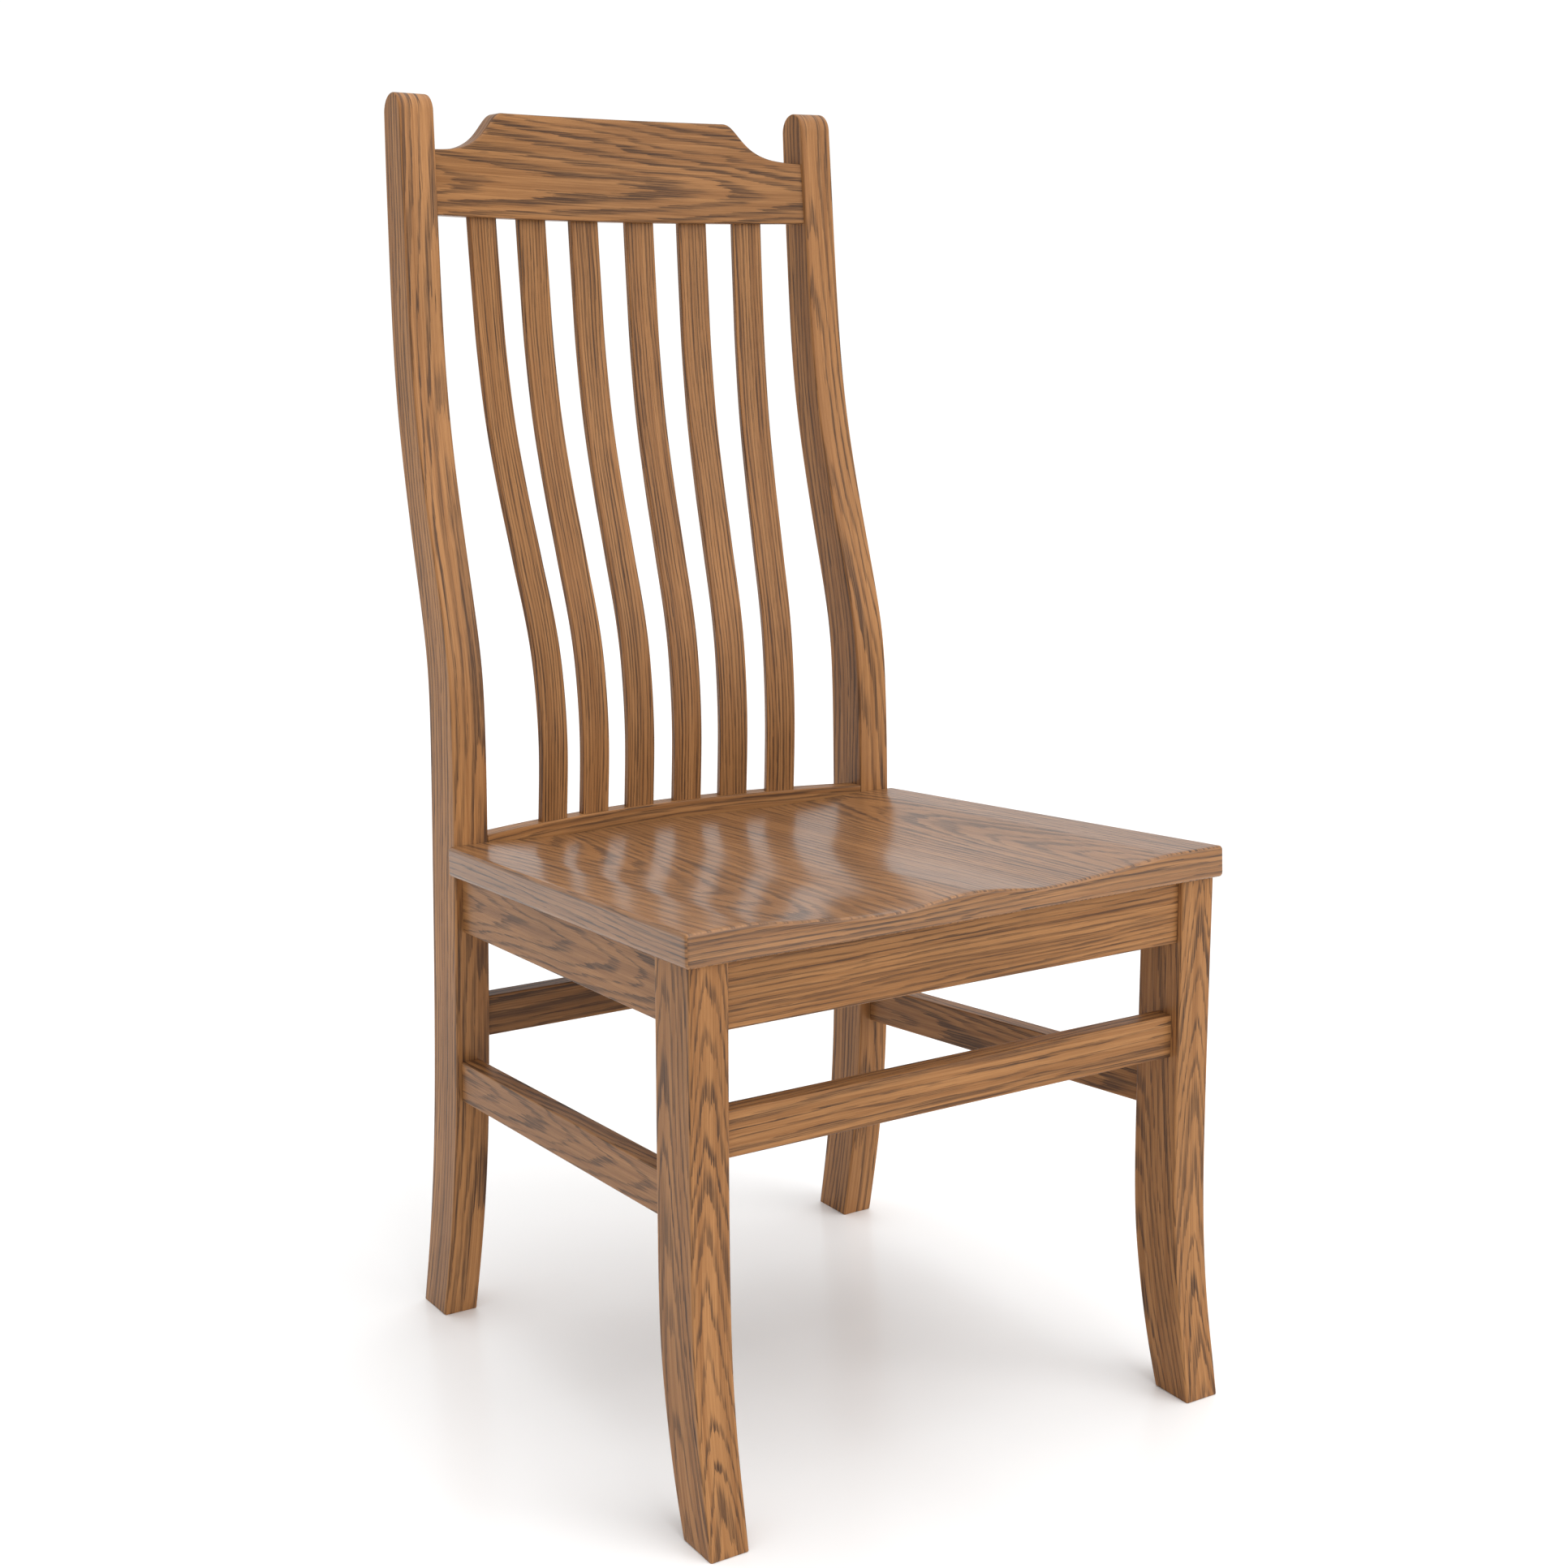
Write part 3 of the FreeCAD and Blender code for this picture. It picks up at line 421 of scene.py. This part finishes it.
def stained_oak_finish(name, coat, specular):
    """Stained oak under lacquer: coat is how much of it was built up over the stain."""
    material, nodes, links, shader = bare_finish(name)
    group = nodes.new("ShaderNodeGroup")
    group.node_tree = oak_figure
    carried = (("Grain Run", "grain_run", "Vector"), ("Ring Distance", "ring_distance", "Fac"),
               ("Tone With Painted Shade", "board_tone_with_painted_shade", "Fac"))
    for label, attribute, pin in carried:
        source = nodes.new("ShaderNodeAttribute")
        source.attribute_name = attribute
        links.new(source.outputs[pin], group.inputs[label])
    bump = nodes.new("ShaderNodeBump")
    bump.inputs["Strength"].default_value = 0.35
    bump.inputs["Distance"].default_value = 0.0003
    links.new(group.outputs["Color"], shader.inputs["Base Color"])
    links.new(group.outputs["Roughness"], shader.inputs["Roughness"])
    links.new(group.outputs["Height"], bump.inputs["Height"])
    links.new(bump.outputs["Normal"], shader.inputs["Normal"])
    shader.inputs["Specular IOR Level"].default_value = specular
    shader.inputs["Coat Weight"].default_value = coat
    shader.inputs["Coat Roughness"].default_value = 0.22
    return material


def bright_steel_finish():
    """Turned screw heads: bright metal with fine turning marks in the roughness."""
    material, nodes, links, shader = bare_finish("bright_screw_steel")
    marks = spread_noise(nodes, links, 900.0)
    reach = nodes.new("ShaderNodeMapRange")
    reach.inputs[3].default_value, reach.inputs[4].default_value = 0.22, 0.42
    links.new(marks.outputs["Fac"], reach.inputs[0])
    links.new(reach.outputs[0], shader.inputs["Roughness"])
    two_tints(nodes, links, marks, (0.52, 0.52, 0.53, 1), (0.68, 0.67, 0.65, 1))
    shader.inputs["Metallic"].default_value = 1.0
    return material


oak_figure = oak_figure_group()
stained_oak = stained_oak_finish("stained_oak", 0.05, 0.12)
seat_lacquer = stained_oak_finish("seat_lacquer", 0.55, 0.15)
bright_steel = bright_steel_finish()


# ---------------------------------------------------------------- posts, legs and slats

def sawn_corners(front, rear, width):
    """Corners and inward ways of a plank sawn to a side profile: walls 0 and 2 are its front and rear."""
    n = len(front)
    lift = lambda x, p: np.column_stack([np.full(n, x), p])
    corners = np.stack([lift(0, front), lift(width, front), lift(width, rear), lift(0, rear)], 1)
    flow_f, flow_r = unit(np.gradient(front, axis=0)), unit(np.gradient(rear, axis=0))
    in_front = np.column_stack([np.zeros(n), flow_f[:, 1], -flow_f[:, 0]])
    in_rear = np.column_stack([np.zeros(n), -flow_r[:, 1], flow_r[:, 0]])
    if np.allclose(front[-1], rear[-1]):
        in_front[-1] = in_rear[-1] = (0, 0, -1)
    over = np.array([1.0, 0, 0])
    into_a = np.broadcast_to(np.array([over, -over, -over, over]), (n, 4, 3))
    return corners, into_a, np.stack([in_front, in_front, in_rear, in_rear], 1)


def rear_post(name, seed, mirror):
    """S-curved post: two sawn curves joined over the top by a half-round crown, leaning inwards."""
    z = np.linspace(FINE_EDGE / MM, POST_TOP, 110)
    front, rear = (np.column_stack([smooth(t, z), z]) * MM for t in (POST_FRONT, POST_REAR))
    mid, r = (front[-1, 0] + rear[-1, 0]) / 2, (rear[-1, 0] - front[-1, 0]) / 2
    t = np.radians(np.linspace(0, 90, 13))[1:]
    up = front[-1, 1] + (r - 0.4 * MM) * np.sin(t)
    front = np.concatenate([front, np.column_stack([mid - r * np.cos(t), up])])
    rear = np.concatenate([rear, np.column_stack([mid + r * np.cos(t), up])])
    corners, into_a, into_b = sawn_corners(front, rear, POST_WIDTH)
    c, s = math.cos(math.atan(LEAN)), math.sin(math.atan(LEAN))

    def lean(p):
        """Turned about Y by the lean, then set on the back line."""
        return np.stack([p[..., 0] * c + p[..., 2] * s - POST_HALF, p[..., 1] + BACK,
                         p[..., 2] * c - p[..., 0] * s], -1)

    figures = [look(seed, centre=0.009, depth=0.012, taper=0.035, pitch=1.1),
               look(seed + 1, centre=-0.07, depth=0.02, taper=0.03),
               look(seed + 2, centre=0.02, taper=0.03),
               look(seed + 3, centre=0.055, depth=0.03, taper=0.035, pitch=1.2)]
    return board(name, corners, STOUT_EDGE, figures, foot=FINE_EDGE, piece_tone_and_painted_shade=1.06, mirror=mirror, turn=lean,
                 into_a=into_a, into_b=into_b, cuts=(3, 5))


def front_leg(name, seed, mirror):
    """Sabre leg: straight at the top, swept forward at the foot, its top sawn to the seat's slope."""
    z = np.linspace(FINE_EDGE / MM, LEG_FRONT[-1][0], 60)
    front, rear = (np.column_stack([smooth(t, z), z]) * MM for t in (LEG_FRONT, LEG_REAR))
    tops = [np.array([[p[-1, 0], p[-1, 1] + f * (UNDER_REAR - SLOPE * p[-1, 0] - p[-1, 1])]
                      for f in (0.33, 0.66, 1.0)]) for p in (front, rear)]
    front, rear = np.concatenate([front, tops[0]]), np.concatenate([rear, tops[1]])
    corners, into_a, into_b = sawn_corners(front, rear, LEG_WIDTH)
    figures = [look(seed, centre=-0.003, depth=0.006, pitch=1.15, taper=0.12),
               look(seed + 1, centre=0.02, depth=0.01, taper=0.08, pitch=1.1),
               look(seed + 2, centre=0.004, depth=0.008, taper=0.1),
               look(seed + 3, centre=-0.010, depth=0.008, pitch=1.0, taper=0.10)]
    return board(name, corners, STOUT_EDGE, figures, foot=FINE_EDGE, piece_tone_and_painted_shade=1.06, mirror=mirror,
                 turn=lambda p: p + np.array([-LEG_HALF, BACK, 0]), into_a=into_a, into_b=into_b,
                 cuts=(3, 5))


def back_slat(name, index, seed, mirror):
    """Curved slat: its middle curve is thickened square to itself, then turned to face the sitter."""
    x, set_back, turn = SLATS[index]
    z = np.linspace(SLAT_CURVE[0][0], SLAT_CURVE[-1][0], 90)
    middle = np.column_stack([smooth(SLAT_CURVE, z), z]) * MM
    flow = unit(np.gradient(middle, axis=0))
    square = np.column_stack([flow[:, 1], -flow[:, 0]]) * SLAT_HALF_THICK
    square[0], square[-1] = (SLAT_HALF_THICK, 0), (SLAT_HALF_THICK, 0)
    corners, into_a, into_b = sawn_corners(middle - square, middle + square, SLAT_WIDTH)
    c, s = math.cos(math.radians(turn)), math.sin(math.radians(turn))

    def place(p):
        """Centred on its own width, turned about the upright, moved to its slot."""
        u = p[..., 0] - SLAT_WIDTH / 2
        return np.stack([u * c - p[..., 1] * s - x * MM, u * s + p[..., 1] * c + BACK + set_back * MM,
                         p[..., 2]], -1)

    figures = [look(seed, centre=0.075, depth=0.02, pitch=1.9, taper=0.012),
               look(seed + 1, centre=0.03, pitch=1.6),
               look(seed + 2, centre=0.07, pitch=1.7, taper=0.012),
               look(seed + 3, centre=0.03, pitch=1.6)]
    # tone 0.95 darkens the slats a little as painted shade
    return board(name, corners, FINE_EDGE, figures, piece_tone_and_painted_shade=0.95, mirror=mirror, turn=place,
                 into_a=into_a, into_b=into_b, cuts=(4, 2))


rear_post("rear_post_left", 1.0, False)
rear_post("rear_post_right", 7.0, True)
front_leg("front_leg_left", 13.0, False)
front_leg("front_leg_right", 19.0, True)
for place in range(3):
    back_slat("back_slat_%d" % (place + 1), place, 25.0 + 1.3 * place, False)
    back_slat("back_slat_%d" % (6 - place), place, 31.0 + 1.3 * place, True)


# ---------------------------------------------------------------- rails, aprons and stretchers

def stations(a, b, count):
    """Corner sets run in a straight line from one end section to the other."""
    t = np.linspace(0, 1, count)[:, None, None]
    return np.asarray(a, float) * (1 - t) + np.asarray(b, float) * t


def side_board(name, seed, mirror, halves, tops, height, thick):
    """Board between post and leg, splayed and stepped from one end to the other."""
    ends = []
    for y, half, top in zip((BACK + 2 * GAP, BACK - LEG_BACK + 3 * GAP), halves, tops):
        ends.append([(-half, y, top - height), (-half, y, top), (-half + thick, y, top),
                     (-half + thick, y, top - height)])
    figures = [look(seed, centre=0.004, depth=0.012, pitch=1.0, taper=0.08), look(seed + 1, centre=0.05),
               look(seed + 2, centre=0.01), look(seed + 3, centre=0.04)]
    return board(name, stations(*ends, 40), FINE_EDGE, figures, piece_tone_and_painted_shade=0.93, mirror=mirror)


def cross_board(name, seed, low, high, front, thick, reach, tilt=0.0, straight=0.06, pitch=1.3, piece_tone_and_painted_shade=1.0):
    """Straight board across the chair, from low to high and from front back by its thickness. Reach gives
    its half length at a height, so its ends lean with the posts or legs; its top may be bevelled."""
    ends = []
    for s in (-1, 1):
        ends.append([(s * reach(low), front, low), (s * reach(high), front, high),
                     (s * reach(high), front + thick, high - tilt * thick),
                     (s * reach(low), front + thick, low)])
    figures = [look(seed, centre=straight, depth=0.02, pitch=pitch, taper=0.02), look(seed + 1, centre=0.05),
               look(seed + 2, centre=straight, pitch=pitch), look(seed + 3, centre=0.05)]
    return board(name, stations(*ends, 40), FINE_EDGE, figures, piece_tone_and_painted_shade=piece_tone_and_painted_shade)


def leg_inner(_):
    """Half distance between the front legs, the same at every height."""
    return LEG_HALF - LEG_WIDTH - GAP


for side, mirror, seed in (("left", False, 40.0), ("right", True, 44.5)):
    side_board("side_apron_" + side, seed, mirror, (APRON_REAR_HALF, APRON_FRONT_HALF),
               (UNDER_REAR, UNDER_FRONT), APRON_HEIGHT, APRON_THICK)
    side_board("side_stretcher_" + side, seed + 9, mirror, (0.221, 0.2352), (0.2418, 0.2676),
               STRETCHER_HEIGHT, STRETCHER_THICK)

apron_face = LEG_FACE - APRON_SETBACK
apron_low = UNDER_REAR + (apron_face - APRON_THICK) * SLOPE - APRON_HEIGHT
cross_board("front_apron", 61.0, apron_low, UNDER_REAR + apron_face * SLOPE, BACK - apron_face, APRON_THICK,
            leg_inner, tilt=SLOPE)
cross_board("front_stretcher", 66.0, 0.2844, 0.2844 + STRETCHER_HEIGHT, BACK - LEG_FACE + 0.0093,
            STRETCHER_THICK, leg_inner, straight=0.02, pitch=1.1)
cross_board("rear_apron", 71.0, 0.357, 0.4039, BACK + 0.020, APRON_THICK, post_inner)
# tone 0.78 on the rear stretcher is painted shade: it sits low at the back under the seat, and its colour is
# darkened for the shade that falls there
cross_board("rear_stretcher", 76.0, 0.2594, 0.2594 + STRETCHER_HEIGHT, BACK + 0.0056, STRETCHER_THICK,
            post_inner, straight=0.14, pitch=0.7, piece_tone_and_painted_shade=0.78)


def lower_back_rail():
    """Bowed rail behind the seat: both faces are the same arc, set one thickness apart."""
    low, high, thick = 0.4044, 0.4372, 0.017
    half = post_inner(high)
    x = np.linspace(-half, half, 70)
    y = BACK + 0.0005 + arc(x, half, RAIL_BOW)
    row = lambda dy, z: np.column_stack([x, y + dy, np.full_like(x, z)])
    corners = np.stack([row(0, low), row(0, high), row(thick, high), row(thick, low)], 1)
    figures = [look(81, centre=0.05), look(82, centre=0.045, pitch=1.3), look(83, centre=0.05),
               look(84, centre=0.04)]
    return board("lower_back_rail", corners, FINE_EDGE, figures)


def crest_rail():
    """Crest: raised outline over a bowed slab tipped back with the posts. A point of the outline at (x, z)
    meets the slab where its own height is (z - bottom + bow(x) sin tip) / cos tip."""
    e0, e1 = post_inner(CREST_FOOT), post_inner(CREST_SHOULDER)
    flat, rise = CREST_OGEE[0]
    xs = np.concatenate([np.linspace(0, flat - 3, 16), np.linspace(flat, e1 / MM, 44)])
    zs = np.where(xs <= flat, rise, smooth(CREST_OGEE + [(e1 / MM, 0.0)], np.maximum(xs, flat)))
    x = np.concatenate([-xs[:0:-1], xs]) * MM
    z_top = CREST_SHOULDER + np.concatenate([zs[:0:-1], zs]) * MM
    x_low = x * e0 / e1
    z_low = CREST_FOOT - 0.0014 * (1 - (x_low / e0) ** 2)

    def on_slab(px, pz, depth):
        """Where an outline point lies on the slab, at a depth from its front face."""
        bow = arc(px, e0 + 0.006, 0.026) + depth
        height = (pz - CREST_FOOT + bow * math.sin(CREST_TIP)) / math.cos(CREST_TIP)
        y = BACK + 0.086 + bow * math.cos(CREST_TIP) + height * math.sin(CREST_TIP)
        return np.column_stack([px, y, pz])

    corners = np.stack([on_slab(x_low, z_low, 0), on_slab(x, z_top, 0), on_slab(x, z_top, CREST_THICK),
                        on_slab(x_low, z_low, CREST_THICK)], 1)
    flow = unit(np.gradient(corners[:, 1], axis=0))
    inward = unit(np.column_stack([flow[:, 2], np.zeros(len(x)), -flow[:, 0]]))
    upward = np.tile([0.0, 0.0, 1.0], (len(x), 1))
    into_a = np.stack([upward, inward, inward, upward], 1)
    points, owner = ring_walls(corners, 0.0016, into_a=into_a, cuts=(10, 3))
    points = closed(points)
    runs, rings = wall_figures(points, owner, [look(90), look(91, centre=0.05), look(92),
                                               look(93, centre=0.04)])
    # both faces take their figure from the plane of the board, so the arches don't bend round the outline
    for q, grid in cell_corners(points):
        for wall, seed in ((0, 90.0), (2, 92.0)):
            steps = owner == wall
            u, v = grid[:, steps, 0] + 0.21, grid[:, steps, 2] - 0.985
            runs[:, steps, q], rings[:, steps, q] = figure(u, v + 0.02 * u, seed, depth=0.010, pitch=0.62,
                                                           taper=0.12)
    return skin("crest_rail", points, runs, rings, piece_tone_and_painted_shade=0.92)


lower_back_rail()
crest_rail()


# ---------------------------------------------------------------- seat

def seat_dish(x, y):
    """Depth of the scoop: splines across the width, blended from front to middle to back of the seat."""
    side = np.minimum(np.abs(x) / MM, DISH_X[-1])
    rows = [smooth(list(zip(DISH_X, d)), side) for d in (DISH_FRONT, DISH_MIDDLE, DISH_REAR)]
    fore, hold, run = DISH_FADE
    t = np.clip((y + fore) / (fore - hold), 0, 1)
    u = np.clip((y + hold) / run, 0, 1)
    t, u = t * t * (3 - 2 * t), u * (2 - u)
    depth = np.where(y < -hold, rows[0] * (1 - t) + rows[1] * t, rows[1] * (1 - u) + rows[2] * u)
    return np.maximum(depth, 0) * MM


def seat():
    """Scooped board: rings across the width at stations from front to back; the top follows the scoop, the
    rim is a quarter round of 3 mm, and the back narrows between the posts along the rail's bow."""
    thick, ease, depth, front_half, rear_half, back = SEAT_THICK, 0.003, 0.4268, 0.2466, 0.2284, 0.0005
    inner = post_inner(SEAT_REAR) - 0.0003
    # stations from front to back as (y, how far the rim has drawn in): quarter round, board, bulge
    front = [(-depth + ease * (1 - math.sin(t)), ease * (1 - math.cos(t)))
             for t in np.radians([90, 72, 54, 36, 18])]
    body = [(y, 0.0) for y in np.linspace(-depth + ease, -back, 90)]
    bulge = [(-back + RAIL_BOW * math.sin(t), 0.0) for t in np.radians(np.linspace(0, 90, 16))]
    y, shrink = np.array(front + body + bulge).T
    wide = front_half + (rear_half - front_half) * (y + depth) / (depth - back)
    r = (inner ** 2 + RAIL_BOW ** 2) / (2 * RAIL_BOW)
    chord = np.sqrt(np.maximum(r ** 2 - (y + back + r - RAIL_BOW) ** 2, 0))
    late = np.arange(len(y)) >= len(front) + len(body)
    chord[-1] = 0.0
    u = np.concatenate([[0, 0.004], np.linspace(0.004, 0.996, 141)[1:-1], [0.996, 1]]) * 2 - 1
    span = np.where(late, rear_half, wide) - shrink - ease
    x_top = u[None, :] * span[:, None]
    limit = np.where(late, chord, 1.0)[:, None]
    x_top = np.clip(x_top, -limit, limit)
    yy = np.broadcast_to(y[:, None], x_top.shape)
    z_top = -seat_dish(x_top, np.maximum(yy, -depth)) - shrink[:, None]
    low = np.broadcast_to((-thick + shrink)[:, None], x_top.shape)
    a = np.radians([22.5, 45.0, 67.5])
    over = np.where(late, 0.0, 1.0)[:, None] * ease
    out = np.abs(x_top[:, -1:])

    def rim(sign):
        """Right or left rim: quarter round, straight wall, quarter round."""
        t0, t1 = z_top[:, -1:], low[:, -1:]
        ex = np.concatenate([np.sin(a), [1, 1, 1, 1], np.sin(a[::-1])])
        ez = np.concatenate([t0 - over * (1 - np.cos(a)), t0 - over, t0 - over - 0.0008, t1 + over + 0.0008,
                             t1 + over, t1 + over * (1 - np.cos(a[::-1]))], 1)
        return np.stack([sign * (out + over * ex), np.broadcast_to(y[:, None], ez.shape), ez], -1)

    top = np.stack([x_top, yy, z_top], -1)
    base = np.stack([x_top, yy, low], -1)[:, ::-1]
    right, left = rim(1.0), rim(-1.0)[:, ::-1]
    points = np.concatenate([top, right, base, left], 1)
    middle = (z_top + low) / 2
    n_top, n_rim = x_top.shape[1], right.shape[1]
    cap_row = np.concatenate([middle, np.repeat(middle[:, -1:], n_rim, 1), middle[:, ::-1],
                              np.repeat(middle[:, :1], n_rim, 1)], 1)
    caps = []
    for index in (0, -1):
        cap = points[index].copy()
        cap[:, 2] = cap_row[index]
        cap[n_top:n_top + n_rim, 0] = cap[n_top + n_rim // 2, 0]
        cap[-n_rim:, 0] = cap[-(n_rim // 2), 0]
        caps.append(cap)
    local = np.concatenate([caps[:1], points, caps[1:]])
    # walls of the ring: top, right rim, underside, left rim; each rim's rounds belong to the faces
    owner = np.repeat([0, 1, 2, 3, 0], [n_top + 1, n_rim - 3, n_top + 3, n_rim - 3, 2])
    m = local.shape[1]
    runs, rings = np.zeros((len(local) - 1, m, 4, 3)), np.zeros((len(local) - 1, m, 4))
    step = np.arange(len(local) - 1)
    fore = np.broadcast_to((step < 3)[:, None], (len(step), m))
    for q, grid in cell_corners(local):
        gx, gy, gz = grid[..., 0], grid[..., 1], grid[..., 2]
        # two boards side by side: arches that open one way on the left and the other way on the right
        fold = np.abs(gx - 0.010) - 0.150
        run, _ = figure(gy, gx, 101.0)
        way = np.where(gx > 0.01, -1.0, 1.0)
        ring = np.sqrt(fold ** 2 + 0.035 ** 2) - 0.11 * gy * way * np.exp(-(fold / 0.085) ** 2)
        for wall in (1, 3):
            side_run, side_ring = figure(gy, gz, 103.0 + wall, centre=0.05, depth=0.01, pitch=1.3,
                                         taper=0.015)
            here = (owner == wall)[None, :]
            run = np.where(here[..., None], side_run, run)
            ring = np.where(here, side_ring, ring)
        face_run, face_ring = figure(gx, gz, 108.0, centre=0.05, depth=0.01, pitch=1.3, taper=0.012)
        runs[:, :, q] = np.where(fore[..., None], face_run, run)
        rings[:, :, q] = np.where(fore, face_ring, ring)
    c, s = math.cos(math.atan(SLOPE)), math.sin(math.atan(SLOPE))
    placed = np.stack([local[..., 0], BACK + local[..., 1] * c + local[..., 2] * s,
                       SEAT_REAR - local[..., 1] * s + local[..., 2] * c], -1)
    return skin("seat", placed, runs, rings, piece_tone_and_painted_shade=0.90, finish=seat_lacquer)


seat()


# ---------------------------------------------------------------- corner blocks and screws

def apron_inner(y):
    """X of the left side apron's inner face at a distance behind the back line."""
    splay = (APRON_FRONT_HALF - APRON_REAR_HALF) / LEG_BACK
    return -(APRON_REAR_HALF - APRON_THICK - splay * y) + GAP


def corner_block(name, plan, top, seed, mirror):
    """Glue block: the plan's edge is carried down the block's height, the two faces drawn to a middle."""
    plan = np.array(plan, float)
    count = 6
    t = np.linspace(0, 1, count, endpoint=False)[None, :, None]
    loop = (plan[:, None] * (1 - t) + np.roll(plan, -1, axis=0)[:, None] * t).reshape(-1, 2)
    middle = loop.mean(0)
    ease = 0.0008
    toward = unit(middle - loop)
    rows = [(0.0, ease), (ease * 0.3, ease * 0.3), (ease, 0.0), (BLOCK_HEIGHT - ease, 0.0),
            (BLOCK_HEIGHT - ease * 0.3, ease * 0.3), (BLOCK_HEIGHT, ease)]
    points = np.stack([np.column_stack([loop + toward * inset, np.full(len(loop), top - BLOCK_HEIGHT + h)])
                       for h, inset in rows])
    ends = [np.broadcast_to(points[k].mean(0), points[k].shape) for k in (0, -1)]
    points = np.concatenate([ends[:1], points, ends[1:]])
    points[..., 1] += BACK
    runs, rings = np.zeros((len(points) - 1, len(loop), 4, 3)), np.zeros((len(points) - 1, len(loop), 4))
    for q, grid in cell_corners(points):
        x, y, z = grid[..., 0], grid[..., 1], grid[..., 2]
        runs[:, :, q], rings[:, :, q] = figure((x + y) * 0.7, (x - y) * 0.7 + z, seed, centre=0.3)
    return skin(name, points, runs, rings, mirror=mirror)


front_top, rear_top = 0.4264, 0.4038
leg_x, leg_y = -(LEG_HALF - LEG_WIDTH) + GAP, -LEG_BACK + 2 * GAP
front_y = -apron_face + APRON_THICK + GAP
front_plan = [(leg_x, front_y), (-0.158, front_y), (apron_inner(-0.345), -0.345),
              (apron_inner(leg_y), leg_y), (leg_x, leg_y)]
post_x = -post_inner(rear_top) + GAP
rear_plan = [(apron_inner(-0.062), -0.062), (-0.138, 0.01995), (post_x, 0.01995), (post_x, 2 * GAP),
             (apron_inner(2 * GAP), 2 * GAP)]
for side, mirror, seed in (("left", False, 120.0), ("right", True, 125.0)):
    corner_block("corner_block_front_" + side, front_plan, front_top, seed, mirror)
    corner_block("corner_block_rear_" + side, rear_plan, rear_top, seed + 2, mirror)

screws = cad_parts["seat_screws"]
screws.data.materials.clear()
screws.data.materials.append(bright_steel)


# ---------------------------------------------------------------- floor, light and camera

def studio_floor():
    """Wide pale floor with a faint polish: a flat square grid, reach metres each way."""
    count, reach = 20, 9.0
    side = np.linspace(-reach, reach, count + 1)
    x, y = np.meshgrid(side, side, indexing="ij")
    points = np.stack([x, y, np.zeros_like(x)], -1).reshape(-1, 3)
    i, j = np.meshgrid(np.arange(count), np.arange(count), indexing="ij")
    first = (i * (count + 1) + j).ravel()
    faces = np.stack([first, first + count + 1, first + count + 2, first + 1], 1)
    mesh = bpy.data.meshes.new("studio_floor")
    mesh.from_pydata(points.tolist(), [], faces.tolist())
    floor = bpy.data.objects.new("studio_floor", mesh)
    bpy.context.scene.collection.objects.link(floor)
    material, nodes, links, shader = bare_finish("pale_floor")
    two_tints(nodes, links, spread_noise(nodes, links, 3.0), (0.93, 0.93, 0.93, 1), (0.95, 0.95, 0.95, 1))
    shader.inputs["Roughness"].default_value = 0.22
    shader.inputs["Specular IOR Level"].default_value = 0.35
    mesh.materials.append(material)


def skylight(name, way, spread, power):
    """Broad even light from one way, with soft shadows: spread is its apparent width in degrees."""
    lamp = bpy.data.lights.new(name, "SUN")
    lamp.energy, lamp.angle = power, math.radians(spread)
    holder = bpy.data.objects.new(name, lamp)
    bpy.context.scene.collection.objects.link(holder)
    x, y, z = way
    holder.rotation_euler = (math.atan2(math.hypot(x, y), z), 0, math.atan2(y, x) + math.pi / 2)


studio_floor()
skylight("key_light", (0.28, -0.92, 0.62), 60, 1.5)
skylight("overhead_light", (0.1, 0.0, 1.0), 70, 1.5)

world = bpy.data.worlds.new("white_studio")
bpy.context.scene.world = world
world.use_nodes = True
backdrop = world.node_tree.nodes["Background"]
backdrop.inputs["Color"].default_value = (1, 1, 1, 1)
seen, level = (world.node_tree.nodes.new("ShaderNode" + kind) for kind in ("LightPath", "MapRange"))
level.inputs[3].default_value, level.inputs[4].default_value = 0.72, 1.05     # as light, and as backdrop
world.node_tree.links.new(seen.outputs["Is Camera Ray"], level.inputs[0])
world.node_tree.links.new(level.outputs[0], backdrop.inputs["Strength"])
bpy.context.scene.view_settings.view_transform = "Standard"

camera = bpy.data.objects.new("camera", bpy.data.cameras.new("camera"))
bpy.context.scene.collection.objects.link(camera)
camera.location = (-1.003492, BACK - 1.729594, 0.872307)
camera.rotation_euler = (math.radians(90 - 10.4455), 0, -math.radians(32.676))
camera.data.lens = 52.713
camera.data.sensor_width = 36.0
camera.data.shift_y = -60 / 1932
bpy.context.scene.camera = camera
